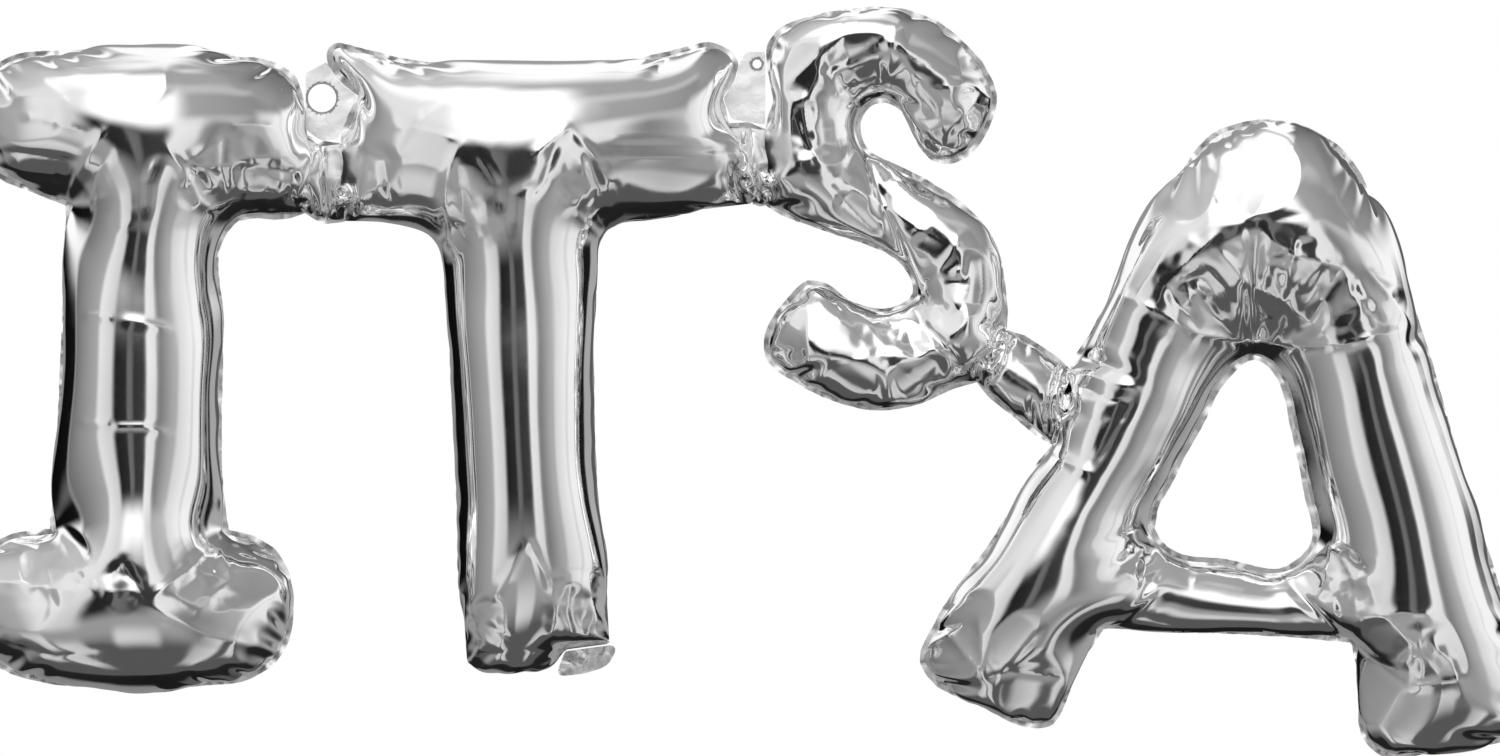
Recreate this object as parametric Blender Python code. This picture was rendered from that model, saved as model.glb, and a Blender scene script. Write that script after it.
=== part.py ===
"""Letter foil balloon: four joined silver letters, I T S A, hung in the air by the tabs between them.

Each letter is a front film and a back film, welded round a narrow seam. Inflated necks lead the air from
one letter to the next, flat tabs of film between the letters are punched to hang by, and a self-sealing
valve comes out at the foot of the T. The letters swing on the creases where the necks are pinched.

Frame: metres, X along the row of letters, Y away from the viewer, Z up. The origin is the middle of the
small hole in the tab between T and S, where the row balances. Tables are in millimetres.
"""

import math

import bmesh
import bpy
import numpy as np
from mathutils import Vector, geometry

# Driving dimensions, in millimetres
MM = 0.001
SEAM_WIDTH = 2.0
SEAM_THICKNESS = 0.7
TOUCH_GAP = 0.3
HALF_GAP = TOUCH_GAP / 2
FILM_EDGE = 0.4
DEPTH_RATIO = 0.86
EDGE_STEP = 11.0
EDGE_TURN = math.radians(24)
RING_INSET = 3.6
INSIDE_STEP = 12.0
MOST_MITRE = 1.5
EMPTY_SIZE = 30.0

# The kind of triangulation that keeps only what the outer loop encloses
INSIDE_EDGES = 1

# Hanging holes: x, z and radius
HOLE_SIDES = 24
BIG_HOLE = (-184.0, -14.4, 6.0)
SMALL_HOLE = (0.0, 0.0, 2.0)

# Upper edges of the hanging tabs, and the rows of LETTER_T_UPPER at the tips of the T that they start from
LEFT_TAB_TOP = -4.0
RIGHT_TAB_TOP = 5.0
RIGHT_TAB_CORNER = -4.4
LEFT_TIP_ROW = 4
RIGHT_TIP_ROW = 14

# Creases that the letters swing on: the middle of the pinched neck (x, z) and the crease's direction
CREASE_I_T = ((-191.2, -46.0), (0.0, 1.0))
CREASE_T_S = ((3.8, -44.0), (0.0, 1.0))
CREASE_S_A = ((98.6, -124.8), (0.5, 0.866025))

# Outlines of the seam's outer edge, clockwise from the front. Columns: x, z, kind of point.
# smooth: the edge curves through it; corner: it turns there; neck: a corner where a neck meets the letter
LETTER_I = [
    (-191.5, -65.3, "corner"),
    (-205.0, -65.8, "smooth"),
    (-220.0, -66.6, "smooth"),
    (-224.6, -72.0, "smooth"),
    (-225.6, -110.0, "smooth"),
    (-224.6, -190.0, "smooth"),
    (-223.6, -197.2, "corner"),
    (-213.0, -199.6, "smooth"),
    (-203.0, -206.5, "smooth"),
    (-197.2, -218.0, "smooth"),
    (-196.4, -235.0, "smooth"),
    (-200.0, -248.5, "smooth"),
    (-213.0, -259.6, "smooth"),
    (-235.0, -263.2, "smooth"),
    (-280.0, -263.6, "smooth"),
    (-306.0, -260.8, "smooth"),
    (-323.0, -254.0, "smooth"),
    (-330.6, -240.0, "smooth"),
    (-331.0, -220.0, "smooth"),
    (-325.0, -204.5, "smooth"),
    (-313.0, -198.2, "smooth"),
    (-299.2, -196.8, "corner"),
    (-296.0, -150.0, "smooth"),
    (-293.4, -90.0, "smooth"),
    (-292.2, -60.0, "corner"),
    (-306.0, -54.4, "smooth"),
    (-320.0, -48.8, "smooth"),
    (-328.0, -40.0, "smooth"),
    (-330.0, -22.0, "smooth"),
    (-326.5, -5.0, "smooth"),
    (-316.0, 3.2, "smooth"),
    (-298.0, 5.6, "smooth"),
    (-250.0, 5.2, "smooth"),
    (-218.0, 3.0, "smooth"),
    (-203.0, 0.4, "smooth"),
    (-195.0, -6.0, "smooth"),
    (-191.6, -16.0, "smooth"),
    (-191.5, -28.0, "corner"),
]
LETTER_T_UPPER = [
    (-190.9, -28.0, "corner"),
    (-184.0, -32.6, "smooth"),
    (-177.0, -32.0, "neck"),
    (-168.8, -13.5, "corner"),
    (-181.6, 1.0, "smooth"),
    (-180.6, 8.0, "smooth"),
    (-170.5, 7.6, "smooth"),
    (-151.0, 2.6, "smooth"),
    (-130.0, -0.6, "smooth"),
    (-98.0, -2.4, "smooth"),
    (-66.0, -0.2, "smooth"),
    (-45.0, 3.4, "smooth"),
    (-29.0, 7.6, "smooth"),
    (-18.5, 9.2, "smooth"),
    (-7.6, 0.4, "smooth"),
    (-14.6, -14.5, "corner"),
    (-11.0, -23.6, "neck"),
    (3.5, -26.0, "corner"),
]
LETTER_T_LOWER = [
    (3.5, -61.4, "corner"),
    (-2.0, -61.0, "neck"),
    (-22.0, -63.4, "smooth"),
    (-46.0, -66.4, "smooth"),
    (-59.0, -69.6, "smooth"),
    (-65.4, -76.0, "smooth"),
    (-66.8, -90.0, "smooth"),
    (-66.8, -150.0, "smooth"),
    (-64.4, -200.0, "smooth"),
    (-61.6, -226.0, "smooth"),
    (-60.3, -247.0, "corner"),
    (-80.0, -249.6, "corner"),
    (-87.0, -257.4, "smooth"),
    (-103.0, -258.8, "smooth"),
    (-117.0, -259.2, "smooth"),
    (-124.6, -254.0, "corner"),
    (-126.0, -233.0, "corner"),
    (-128.0, -200.0, "smooth"),
    (-130.8, -150.0, "smooth"),
    (-133.0, -95.0, "smooth"),
    (-134.8, -80.0, "smooth"),
    (-140.0, -73.2, "smooth"),
    (-152.0, -69.8, "smooth"),
    (-174.0, -68.4, "neck"),
    (-184.0, -67.4, "smooth"),
    (-190.9, -64.3, "corner"),
]
LETTER_S_UPPER = [
    (4.1, -26.0, "corner"),
    (6.6, -16.0, "smooth"),
    (4.6, -3.0, "smooth"),
    (4.4, 8.0, "smooth"),
    (10.0, 15.4, "smooth"),
    (22.0, 19.8, "smooth"),
    (40.0, 23.4, "smooth"),
    (58.0, 23.8, "smooth"),
    (74.0, 19.2, "smooth"),
    (87.0, 10.0, "smooth"),
    (98.0, -4.0, "smooth"),
    (101.6, -14.0, "smooth"),
    (99.0, -25.0, "smooth"),
    (91.0, -37.6, "smooth"),
    (82.0, -42.2, "smooth"),
    (74.0, -40.8, "smooth"),
    (67.0, -32.0, "smooth"),
    (61.5, -20.6, "smooth"),
    (55.0, -16.4, "smooth"),
    (47.0, -18.8, "smooth"),
    (43.8, -26.0, "smooth"),
    (47.0, -36.0, "smooth"),
    (58.0, -42.0, "smooth"),
    (76.0, -51.4, "smooth"),
    (91.0, -62.6, "smooth"),
    (100.6, -75.0, "smooth"),
    (104.8, -92.0, "smooth"),
    (106.34, -110.74, "corner"),
]
LETTER_S_LOWER = [
    (91.84, -135.91, "corner"),
    (84.0, -137.0, "smooth"),
    (72.0, -142.8, "smooth"),
    (52.0, -146.6, "smooth"),
    (32.0, -142.4, "smooth"),
    (14.0, -133.4, "smooth"),
    (4.4, -125.6, "smooth"),
    (3.0, -116.0, "smooth"),
    (10.0, -102.6, "smooth"),
    (20.5, -91.2, "corner"),
    (29.5, -92.6, "smooth"),
    (38.0, -99.4, "smooth"),
    (48.0, -103.0, "smooth"),
    (59.0, -102.4, "smooth"),
    (65.6, -97.0, "smooth"),
    (63.4, -88.0, "smooth"),
    (54.0, -79.6, "smooth"),
    (36.0, -73.2, "smooth"),
    (16.0, -66.2, "smooth"),
    (4.1, -61.8, "corner"),
]
LETTER_A = [
    (106.86, -111.04, "corner"),
    (119.0, -118.6, "smooth"),
    (132.0, -127.0, "neck"),
    (139.4, -116.0, "smooth"),
    (158.0, -82.0, "smooth"),
    (178.0, -48.4, "smooth"),
    (191.0, -30.6, "smooth"),
    (210.0, -23.8, "smooth"),
    (236.0, -28.2, "smooth"),
    (250.0, -38.4, "smooth"),
    (262.0, -62.0, "smooth"),
    (280.0, -108.6, "smooth"),
    (298.0, -170.0, "smooth"),
    (318.0, -232.0, "smooth"),
    (333.0, -273.0, "smooth"),
    (332.0, -282.4, "smooth"),
    (318.0, -286.4, "smooth"),
    (288.0, -290.8, "smooth"),
    (264.0, -292.8, "smooth"),
    (257.4, -287.0, "smooth"),
    (254.4, -262.0, "smooth"),
    (251.6, -245.0, "corner"),
    (222.0, -242.2, "smooth"),
    (180.0, -240.4, "smooth"),
    (147.0, -238.8, "corner"),
    (137.0, -254.0, "smooth"),
    (131.0, -269.0, "smooth"),
    (125.0, -280.0, "smooth"),
    (115.0, -280.6, "smooth"),
    (94.0, -271.6, "smooth"),
    (74.0, -261.0, "smooth"),
    (68.6, -252.0, "smooth"),
    (73.0, -240.4, "smooth"),
    (100.0, -200.0, "smooth"),
    (122.8, -161.4, "neck"),
    (106.0, -147.4, "smooth"),
    (92.36, -136.21, "corner"),
]
COUNTER_A = [
    (211.0, -125.2, "smooth"),
    (200.0, -132.4, "smooth"),
    (189.0, -152.0, "smooth"),
    (175.4, -178.0, "smooth"),
    (168.2, -196.6, "smooth"),
    (174.0, -204.4, "smooth"),
    (198.0, -209.4, "smooth"),
    (226.0, -211.4, "smooth"),
    (234.0, -203.0, "smooth"),
    (231.4, -181.0, "smooth"),
    (225.0, -151.0, "smooth"),
    (220.0, -133.0, "smooth"),
]

# Flat tail of the filling valve, clockwise. Columns: x, z, kind of point
VALVE = [
    (-61.4, -247.6, "corner"),
    (-64.4, -252.6, "corner"),
    (-71.0, -255.4, "corner"),
    (-82.6, -257.2, "corner"),
    (-80.0, -250.1, "corner"),
]

# Colours and finish of the film. Columns: base colour, metallic, roughness
FINISHES = {
    "mirror_foil": ((0.86, 0.86, 0.87), 1.0, 0.08),
    "seam_foil": ((0.80, 0.80, 0.81), 1.0, 0.16),
    "tab_foil": ((0.88, 0.88, 0.89), 1.0, 0.22),
    "valve_film": ((0.62, 0.63, 0.65), 0.4, 0.30),
}


def clear_scene():
    for obj in list(bpy.data.objects):
        bpy.data.objects.remove(obj, do_unlink=True)


def material_of(name):
    """The named finish as a Principled material, made once."""
    if name in bpy.data.materials:
        return bpy.data.materials[name]
    colour, metallic, roughness = FINISHES[name]
    material = bpy.data.materials.new(name)
    material.use_nodes = True
    shader = material.node_tree.nodes["Principled BSDF"]
    shader.inputs["Base Color"].default_value = (*colour, 1.0)
    shader.inputs["Metallic"].default_value = metallic
    shader.inputs["Roughness"].default_value = roughness
    return material


def curve_through(rows, closed=False):
    """Points of the smooth edge through the rows, and where each row's point is among them."""
    knots = [Vector((x, z, 0.0)) for x, z, kind in rows]
    kinds = [kind for x, z, kind in rows]
    count = len(knots)
    tangents = []
    for i, knot in enumerate(knots):
        inner = closed or 0 < i < count - 1
        if kinds[i] == "smooth" and inner:
            before, after = knots[i - 1], knots[(i + 1) % count]
            # The nearer neighbour counts for more, so that a long run doesn't swell a short bend.
            back, ahead = (knot - before), (after - knot)
            mixed = back * ahead.length / back.length + ahead * back.length / ahead.length
            tangents.append(mixed.normalized())
        else:
            tangents.append(None)
    points, places = [], []
    for i in range(count if closed else count - 1):
        start, end = knots[i], knots[(i + 1) % count]
        chord = end - start
        leave = tangents[i] or chord.normalized()
        arrive = tangents[(i + 1) % count] or chord.normalized()
        reach = chord.length / 3
        turn = leave.angle(chord) + arrive.angle(chord)
        steps = max(1, math.ceil(turn / EDGE_TURN), math.ceil(chord.length / EDGE_STEP))
        bend = geometry.interpolate_bezier(
            start, start + leave * reach, end - arrive * reach, end, steps + 1
        )
        places.append(len(points))
        points.extend(bend[:-1])
    if not closed:
        places.append(len(points))
        points.append(knots[-1])
    return np.array([(p.x, p.y) for p in points]), places


def inward(points, closed=False):
    """Normals to the right of the way along the edge, which is towards the film."""
    ahead = np.roll(points, -1, axis=0) - points
    ahead /= np.linalg.norm(ahead, axis=1)[:, None]
    behind = np.roll(ahead, 1, axis=0)
    if not closed:
        ahead[-1] = behind[-1]
        behind[0] = ahead[0]
    way = ahead + behind
    length = np.linalg.norm(way, axis=1)[:, None]
    # At a corner the normal is longer by the mitre, so that the edge keeps its width there.
    return np.column_stack([way[:, 1], -way[:, 0]]) / length * np.minimum(2 / length, MOST_MITRE)


def inset_edge(points, width, crease_start=None, crease_end=None, closed=False):
    """The edge moved into the film by the width. Its ends slide along the creases that they lie on."""
    moved = points + inward(points, closed) * width
    for index, crease in ((0, crease_start), (-1, crease_end)):
        if crease is not None:
            middle, along = np.array(crease[0]), np.array(crease[1])
            side = np.sign(np.dot(middle - points[index], along))
            moved[index] = points[index] + along * side * width
    return moved


def curve_plate(name, loops, thickness):
    """A flat plate from closed outlines in the film's plane; every loop after the first is a hole."""
    curve = bpy.data.curves.new(name, "CURVE")
    curve.dimensions = "2D"
    curve.fill_mode = "BOTH"
    curve.extrude = thickness / 2 * MM
    for loop in loops:
        spline = curve.splines.new("POLY")
        spline.points.add(len(loop) - 1)
        for point, (x, z) in zip(spline.points, loop):
            point.co = (x * MM, z * MM, 0.0, 1.0)
        spline.use_cyclic_u = True
    plate = bpy.data.objects.new(name, curve)
    # The curve is drawn in its own XY plane, which is turned up to face the viewer.
    plate.rotation_euler = (math.pi / 2, 0.0, 0.0)
    return plate


def circle(x, z, radius):
    angles = [2 * math.pi * i / HOLE_SIDES for i in range(HOLE_SIDES)]
    return [(x + radius * math.cos(a), z + radius * math.sin(a)) for a in angles]


def edge_distance(points, loops):
    """How far each point is from the nearest edge of the loops."""
    nearest = np.full(len(points), 1e9)
    for loop in loops:
        for start, end in zip(loop, np.roll(loop, -1, axis=0)):
            span = end - start
            t = np.clip((points - start) @ span / (span @ span), 0, 1)
            nearest = np.minimum(nearest, np.linalg.norm(points - (start + t[:, None] * span), axis=1))
    return nearest


def inside(points, loops):
    """Which points lie in the film: inside the first loop and outside the holes."""
    crossings = np.zeros(len(points), int)
    for loop in loops:
        for (x0, z0), (x1, z1) in zip(loop, np.roll(loop, -1, axis=0)):
            spans = (z0 > points[:, 1]) != (z1 > points[:, 1])
            if z0 != z1:
                at = (x1 - x0) * (points[:, 1] - z0) / (z1 - z0) + x0
                crossings += spans & (points[:, 0] < at)
    return crossings % 2 == 1


def inner_points(loops):
    """Points for the crown of the pillow: a ring just inside each edge, and rows over the rest."""
    rings = [loop + inward(loop, closed=True) * RING_INSET for loop in loops]
    ring = np.vstack(rings)
    ring = ring[inside(ring, loops) & (edge_distance(ring, loops) > RING_INSET * 0.8)]
    kept = []
    for point in ring:
        if all(np.linalg.norm(point - other) > RING_INSET for other in kept):
            kept.append(point)
    low, high = loops[0].min(axis=0), loops[0].max(axis=0)
    rows = []
    row_step = INSIDE_STEP * math.sqrt(3) / 2
    for j in range(int((high[1] - low[1]) / row_step) + 1):
        shift = INSIDE_STEP / 2 * (j % 2)
        for i in range(int((high[0] - low[0]) / INSIDE_STEP) + 1):
            rows.append((low[0] + shift + i * INSIDE_STEP, low[1] + j * row_step))
    rows = np.array(rows)
    apart = RING_INSET + INSIDE_STEP * 0.55
    rows = rows[inside(rows, loops) & (edge_distance(rows, loops) > apart)]
    return np.vstack([np.array(kept), rows])


def triangulate(loops, extra):
    """Vertices and triangles of the film's plane, bounded by the loops. Edge points come first."""
    points = np.vstack(loops + ([extra] if len(extra) else []))
    edges, first = [], 0
    for loop in loops:
        edges += [(first + i, first + (i + 1) % len(loop)) for i in range(len(loop))]
        first += len(loop)
    found = geometry.delaunay_2d_cdt([Vector(p) for p in points], edges, [], INSIDE_EDGES, 1e-6)
    vertices = np.array([(v.x, v.y) for v in found[0]])
    faces = np.array([list(face) for face in found[2]])
    for hole in loops[1:]:
        faces = faces[~inside(vertices[faces].mean(axis=1), [hole])]
    return vertices, faces


def pillow_height(loops):
    """Height of the inflated film over its plane, as vertices, triangles and a height for each vertex.

    An even load on a film held at its edge gives u; the root of 2u is a circle over a straight strip.
    """
    vertices, faces = triangulate(loops, inner_points(loops))
    count = len(vertices)
    stiffness = np.zeros((count, count))
    load = np.zeros(count)
    for face in faces:
        a, b, c = vertices[face]
        area = abs((b[0] - a[0]) * (c[1] - a[1]) - (c[0] - a[0]) * (b[1] - a[1])) / 2
        slopes = np.array([[b[1] - c[1], c[1] - a[1], a[1] - b[1]], [c[0] - b[0], a[0] - c[0], b[0] - a[0]]])
        stiffness[np.ix_(face, face)] += slopes.T @ slopes / (4 * area)
        load[face] += area / 3
    held = edge_distance(vertices, loops) < 1e-3
    free = ~held
    bulge = np.zeros(count)
    bulge[free] = np.linalg.solve(stiffness[np.ix_(free, free)], load[free])
    return vertices, faces, DEPTH_RATIO * np.sqrt(2 * np.maximum(bulge, 0))


def surface_reader(vertices, faces, heights):
    """A function that gives the pillow's height at any point of its plane."""
    corners = vertices[faces]
    origin = corners[:, 0]
    first, second = corners[:, 1] - origin, corners[:, 2] - origin
    area = first[:, 0] * second[:, 1] - first[:, 1] * second[:, 0]

    def read(point):
        away = point - origin
        u = (away[:, 0] * second[:, 1] - away[:, 1] * second[:, 0]) / area
        v = (first[:, 0] * away[:, 1] - first[:, 1] * away[:, 0]) / area
        best = np.argmax(np.minimum(np.minimum(u, v), 1 - u - v))
        weights = np.clip([1 - u[best] - v[best], u[best], v[best]], 0, 1)
        return float(weights @ heights[faces[best]] / weights.sum())

    return read


def film_half(name, loops, read, side):
    """One closed half of an inflated piece: flat at the seam, crowned towards the side, -1 or 1 in Y."""
    crown, crown_faces = triangulate(loops, inner_points(loops))
    edge_count = sum(len(loop) for loop in loops)
    flat_y = side * HALF_GAP
    mesh = bmesh.new()
    tops = []
    for point in crown:
        rise = max(read(point), 0.0) + FILM_EDGE
        tops.append(mesh.verts.new((point[0] * MM, (flat_y + side * rise) * MM, point[1] * MM)))
    bottoms = [mesh.verts.new((x * MM, flat_y * MM, z * MM)) for x, z in crown[:edge_count]]
    for face in crown_faces:
        mesh.faces.new([tops[i] for i in face])
    flat, flat_faces = triangulate(loops, [])
    for face in flat_faces:
        mesh.faces.new([bottoms[i] for i in face])
    first = 0
    for loop in loops:
        ring = list(range(first, first + len(loop)))
        for i, j in zip(ring, ring[1:] + ring[:1]):
            mesh.faces.new([tops[i], tops[j], bottoms[j], bottoms[i]])
        first += len(loop)
    bmesh.ops.recalc_face_normals(mesh, faces=mesh.faces)
    data = bpy.data.meshes.new(name)
    mesh.to_mesh(data)
    mesh.free()
    data.shade_smooth()
    data.set_sharp_from_angle(angle=math.radians(50))
    return bpy.data.objects.new(name, data)


def film_piece(name, loops, read):
    """Front and back halves of one inflated piece."""
    return [film_half(f"{name}_front", loops, read, -1), film_half(f"{name}_back", loops, read, 1)]


def run_edges(rows, crease_start, crease_end):
    """One open run of seam between two creases: outer edge, seam's inner edge, film's edge, and places."""
    outer, places = curve_through(rows)
    seam = inset_edge(outer, SEAM_WIDTH - TOUCH_GAP, crease_start, crease_end)
    film = inset_edge(outer, SEAM_WIDTH, crease_start, crease_end)
    return outer, seam, film, places


def seam_strip(name, outer, seam):
    return curve_plate(name, [np.vstack([outer, seam[::-1]])], SEAM_THICKNESS)


def neck_places(rows, places):
    return [place for place, (x, z, kind) in zip(places, rows) if kind == "neck"]


def towards(point, target, distance):
    way = target - point
    return point + way / np.linalg.norm(way) * distance


def split_line(start, end):
    """Points along a straight cut, ends left out, at the same step as the edges."""
    steps = math.ceil(np.linalg.norm(end - start) / EDGE_STEP)
    return [start + (end - start) * i / steps for i in range(1, steps)]


def closed_loop(*parts):
    """One loop from runs of points, with straight joins between them filled at the edge step."""
    loop = []
    for part, after in zip(parts, parts[1:] + parts[:1]):
        loop += list(part)
        loop += split_line(part[-1], after[0])
    return np.array(loop)


def make_letter_i():
    outer, seam, film, places = run_edges(LETTER_I, CREASE_I_T, CREASE_I_T)
    loop = closed_loop(film)
    read = surface_reader(*pillow_height([loop]))
    return film_piece("letter_i", [loop], read) + [seam_strip("letter_i_seam", outer, seam)]


def make_letter_t():
    """The T with the necks on both sides of it, its two runs of seam, the tabs and the valve."""
    upper = run_edges(LETTER_T_UPPER, CREASE_I_T, CREASE_T_S)
    lower = run_edges(LETTER_T_LOWER, CREASE_T_S, CREASE_I_T)
    read = surface_reader(*pillow_height([closed_loop(upper[2], lower[2])]))
    up_left, up_right = neck_places(LETTER_T_UPPER, upper[3])
    low_right, low_left = neck_places(LETTER_T_LOWER, lower[3])
    top, bottom = upper[2], lower[2]
    pieces = film_piece(
        "letter_t", [closed_loop(top[up_left : up_right + 1], bottom[low_right : low_left + 1])], read
    )
    left_top = top[: up_left + 1].copy()
    left_top[-1] = towards(left_top[-1], left_top[-2], TOUCH_GAP)
    left_bottom = bottom[low_left:].copy()
    left_bottom[0] = towards(left_bottom[0], left_bottom[1], TOUCH_GAP)
    pieces += film_piece("neck_i_t", [closed_loop(left_top, left_bottom)], read)
    right_top = top[up_right:].copy()
    right_top[0] = towards(right_top[0], right_top[1], TOUCH_GAP)
    right_bottom = bottom[: low_right + 1].copy()
    right_bottom[-1] = towards(right_bottom[-1], right_bottom[-2], TOUCH_GAP)
    pieces += film_piece("neck_t_s", [closed_loop(right_top, right_bottom)], read)
    pieces.append(seam_strip("letter_t_seam_upper", upper[0], upper[1]))
    pieces.append(seam_strip("letter_t_seam_lower", lower[0], lower[1]))
    pieces += make_tabs(upper[0], upper[3])
    valve, _ = curve_through(VALVE, closed=True)
    pieces.append(curve_plate("filling_valve", [valve], SEAM_THICKNESS))
    return pieces


def make_tabs(edge, places):
    """The flat hanging tabs beside the T, each punched with its hole, between its seam and a crease."""
    clear = edge - inward(edge) * TOUCH_GAP
    left_crease, right_crease = edge[0, 0], edge[-1, 0]
    left = clear[: places[LEFT_TIP_ROW] + 1].copy()
    left[0, 0] = left_crease
    left_loop = np.vstack([left, [(left_crease, LEFT_TAB_TOP)]])
    right = clear[places[RIGHT_TIP_ROW] :].copy()
    right[-1, 0] = right_crease
    right_loop = np.vstack([right, [(right_crease, RIGHT_TAB_TOP), (RIGHT_TAB_CORNER, RIGHT_TAB_TOP)]])
    return [
        curve_plate("tab_i_t", [left_loop, circle(*BIG_HOLE)], SEAM_THICKNESS),
        curve_plate("tab_t_s", [right_loop, circle(*SMALL_HOLE)], SEAM_THICKNESS),
    ]


def make_letter_s():
    upper = run_edges(LETTER_S_UPPER, CREASE_T_S, CREASE_S_A)
    lower = run_edges(LETTER_S_LOWER, CREASE_S_A, CREASE_T_S)
    loop = closed_loop(upper[2], lower[2])
    read = surface_reader(*pillow_height([loop]))
    pieces = film_piece("letter_s", [loop], read)
    pieces.append(seam_strip("letter_s_seam_upper", upper[0], upper[1]))
    pieces.append(seam_strip("letter_s_seam_lower", lower[0], lower[1]))
    return pieces


def make_letter_a():
    """The A with its counter, and the neck that joins it to the S."""
    outer, seam, film, places = run_edges(LETTER_A, CREASE_S_A, CREASE_S_A)
    counter, _ = curve_through(COUNTER_A, closed=True)
    counter_seam = inset_edge(counter, SEAM_WIDTH - TOUCH_GAP, closed=True)
    counter_film = inset_edge(counter, SEAM_WIDTH, closed=True)
    read = surface_reader(*pillow_height([closed_loop(film), counter_film]))
    above, below = neck_places(LETTER_A, places)
    pieces = film_piece("letter_a", [closed_loop(film[above : below + 1]), counter_film], read)
    neck_top = film[: above + 1].copy()
    neck_top[-1] = towards(neck_top[-1], neck_top[-2], TOUCH_GAP)
    neck_bottom = film[below:].copy()
    neck_bottom[0] = towards(neck_bottom[0], neck_bottom[1], TOUCH_GAP)
    pieces += film_piece("neck_s_a", [closed_loop(neck_top, neck_bottom)], read)
    pieces.append(seam_strip("letter_a_seam", outer, seam))
    pieces.append(curve_plate("letter_a_counter_seam", [counter_seam, counter], SEAM_THICKNESS))
    return pieces


def finish_of(name):
    if name.startswith("tab"):
        return "tab_foil"
    if name == "filling_valve":
        return "valve_film"
    return "seam_foil" if "seam" in name else "mirror_foil"


def crease_empty(name, crease):
    """An empty on a crease, with its Z along it: a letter turns about it."""
    (x, z), (along_x, along_z) = crease
    empty = bpy.data.objects.new(name, None)
    empty.empty_display_size = EMPTY_SIZE * MM
    empty.location = (x * MM, 0.0, z * MM)
    empty.rotation_euler = Vector((along_x, 0.0, along_z)).to_track_quat("Z", "Y").to_euler()
    return empty


def hang_from(piece, empty):
    """The piece turns with the empty and stays where it is."""
    piece.parent = empty
    piece.matrix_parent_inverse = empty.matrix_world.inverted()


def main():
    clear_scene()
    balloon = bpy.data.collections.new("letter_foil_balloon")
    bpy.context.scene.collection.children.link(balloon)
    swing_i = crease_empty("swing_i", CREASE_I_T)
    swing_s = crease_empty("swing_s", CREASE_T_S)
    swing_a = crease_empty("swing_a", CREASE_S_A)
    for empty in (swing_i, swing_s, swing_a):
        balloon.objects.link(empty)
    bpy.context.view_layer.update()
    hang_from(swing_a, swing_s)
    groups = [
        (make_letter_i(), swing_i),
        (make_letter_t(), None),
        (make_letter_s(), swing_s),
        (make_letter_a(), swing_a),
    ]
    for pieces, swing in groups:
        for piece in pieces:
            balloon.objects.link(piece)
            piece.data.materials.append(material_of(finish_of(piece.name)))
            if swing:
                hang_from(piece, swing)


main()
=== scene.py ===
"""Looks of the letter foil balloon: crinkled mirror film, welded seams, hanging tabs and valve.

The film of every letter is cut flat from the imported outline, a little larger than the letter, welded at
its seam and blown up by a small solver, so that its folds and pinched necks are real geometry.
Lengths inside the film's own code are in millimetres, in the plane (x, z) of the row of letters.
"""

import math

import bpy
import numpy as np
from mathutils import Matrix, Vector, geometry, noise
from mathutils.bvhtree import BVHTree
from mathutils.kdtree import KDTree


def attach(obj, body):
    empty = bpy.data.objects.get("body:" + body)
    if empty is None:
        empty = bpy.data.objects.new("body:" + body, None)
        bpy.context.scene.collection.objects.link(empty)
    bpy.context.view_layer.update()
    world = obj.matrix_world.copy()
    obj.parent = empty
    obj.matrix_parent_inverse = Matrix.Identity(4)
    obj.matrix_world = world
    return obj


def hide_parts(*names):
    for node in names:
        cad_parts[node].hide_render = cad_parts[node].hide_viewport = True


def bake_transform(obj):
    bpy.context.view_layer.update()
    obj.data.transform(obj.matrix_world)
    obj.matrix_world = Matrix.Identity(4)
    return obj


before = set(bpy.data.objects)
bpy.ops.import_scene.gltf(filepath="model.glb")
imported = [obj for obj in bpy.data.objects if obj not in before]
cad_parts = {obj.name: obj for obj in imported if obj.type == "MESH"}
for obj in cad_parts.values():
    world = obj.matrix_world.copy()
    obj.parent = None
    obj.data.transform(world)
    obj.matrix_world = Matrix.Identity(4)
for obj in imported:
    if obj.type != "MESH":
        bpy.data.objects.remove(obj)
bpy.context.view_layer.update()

MM = 0.001

# Places where the film passes from one piece to the next, pinched: upper end, lower end, how deep the
# opening is in front and behind, how many folds gather it, how high they are, and a number for their places
GATES = {
    "i_t": ((-191.2, -30.0), (-191.2, -62.8), 9.0, 4.0, 1.3, 11),
    "t_left": ((-175.8, -33.9), (-174.05, -66.4), 10.5, 3.5, 1.4, 23),
    "t_right": ((-12.3, -25.4), (-1.9, -59.0), 11.0, 3.5, 1.3, 37),
    "t_s": ((3.8, -28.0), (3.8, -59.6), 9.0, 4.0, 1.3, 41),
    "s_a": ((105.6, -112.65), (93.1, -134.35), 7.5, 3.0, 1.1, 53),
    "a_left": ((132.45, -129.65), (125.3, -160.9), 9.5, 3.5, 1.2, 67),
}

# Each inflated piece, named like the nodes that it replaces: its gates and the body that it rides on
FILMS = {
    "letter_i": (["i_t"], "letter_i"),
    "neck_i_t": (["i_t", "t_left"], "letter_t"),
    "letter_t": (["t_left", "t_right"], "letter_t"),
    "neck_t_s": (["t_right", "t_s"], "letter_t"),
    "letter_s": (["t_s", "s_a"], "letter_s"),
    "neck_s_a": (["s_a", "a_left"], "letter_a"),
    "letter_a": (["a_left"], "letter_a"),
}

# Films that lie across a crease, which this script leaves in place without bending them: the bodies on both
# sides of it, and where the bend starts and ends, in metres
BLENDS = {
    "letter_i": ("letter_t", "letter_i", (-0.1912, 0, -0.046), (-0.2035, 0, -0.046)),
    "letter_s": ("letter_t", "letter_s", (0.0038, 0, -0.044), (0.0140, 0, -0.044)),
    "neck_s_a": ("letter_s", "letter_a", (0.0986, 0, -0.1248), (0.1090, 0, -0.1308)),
}

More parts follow.
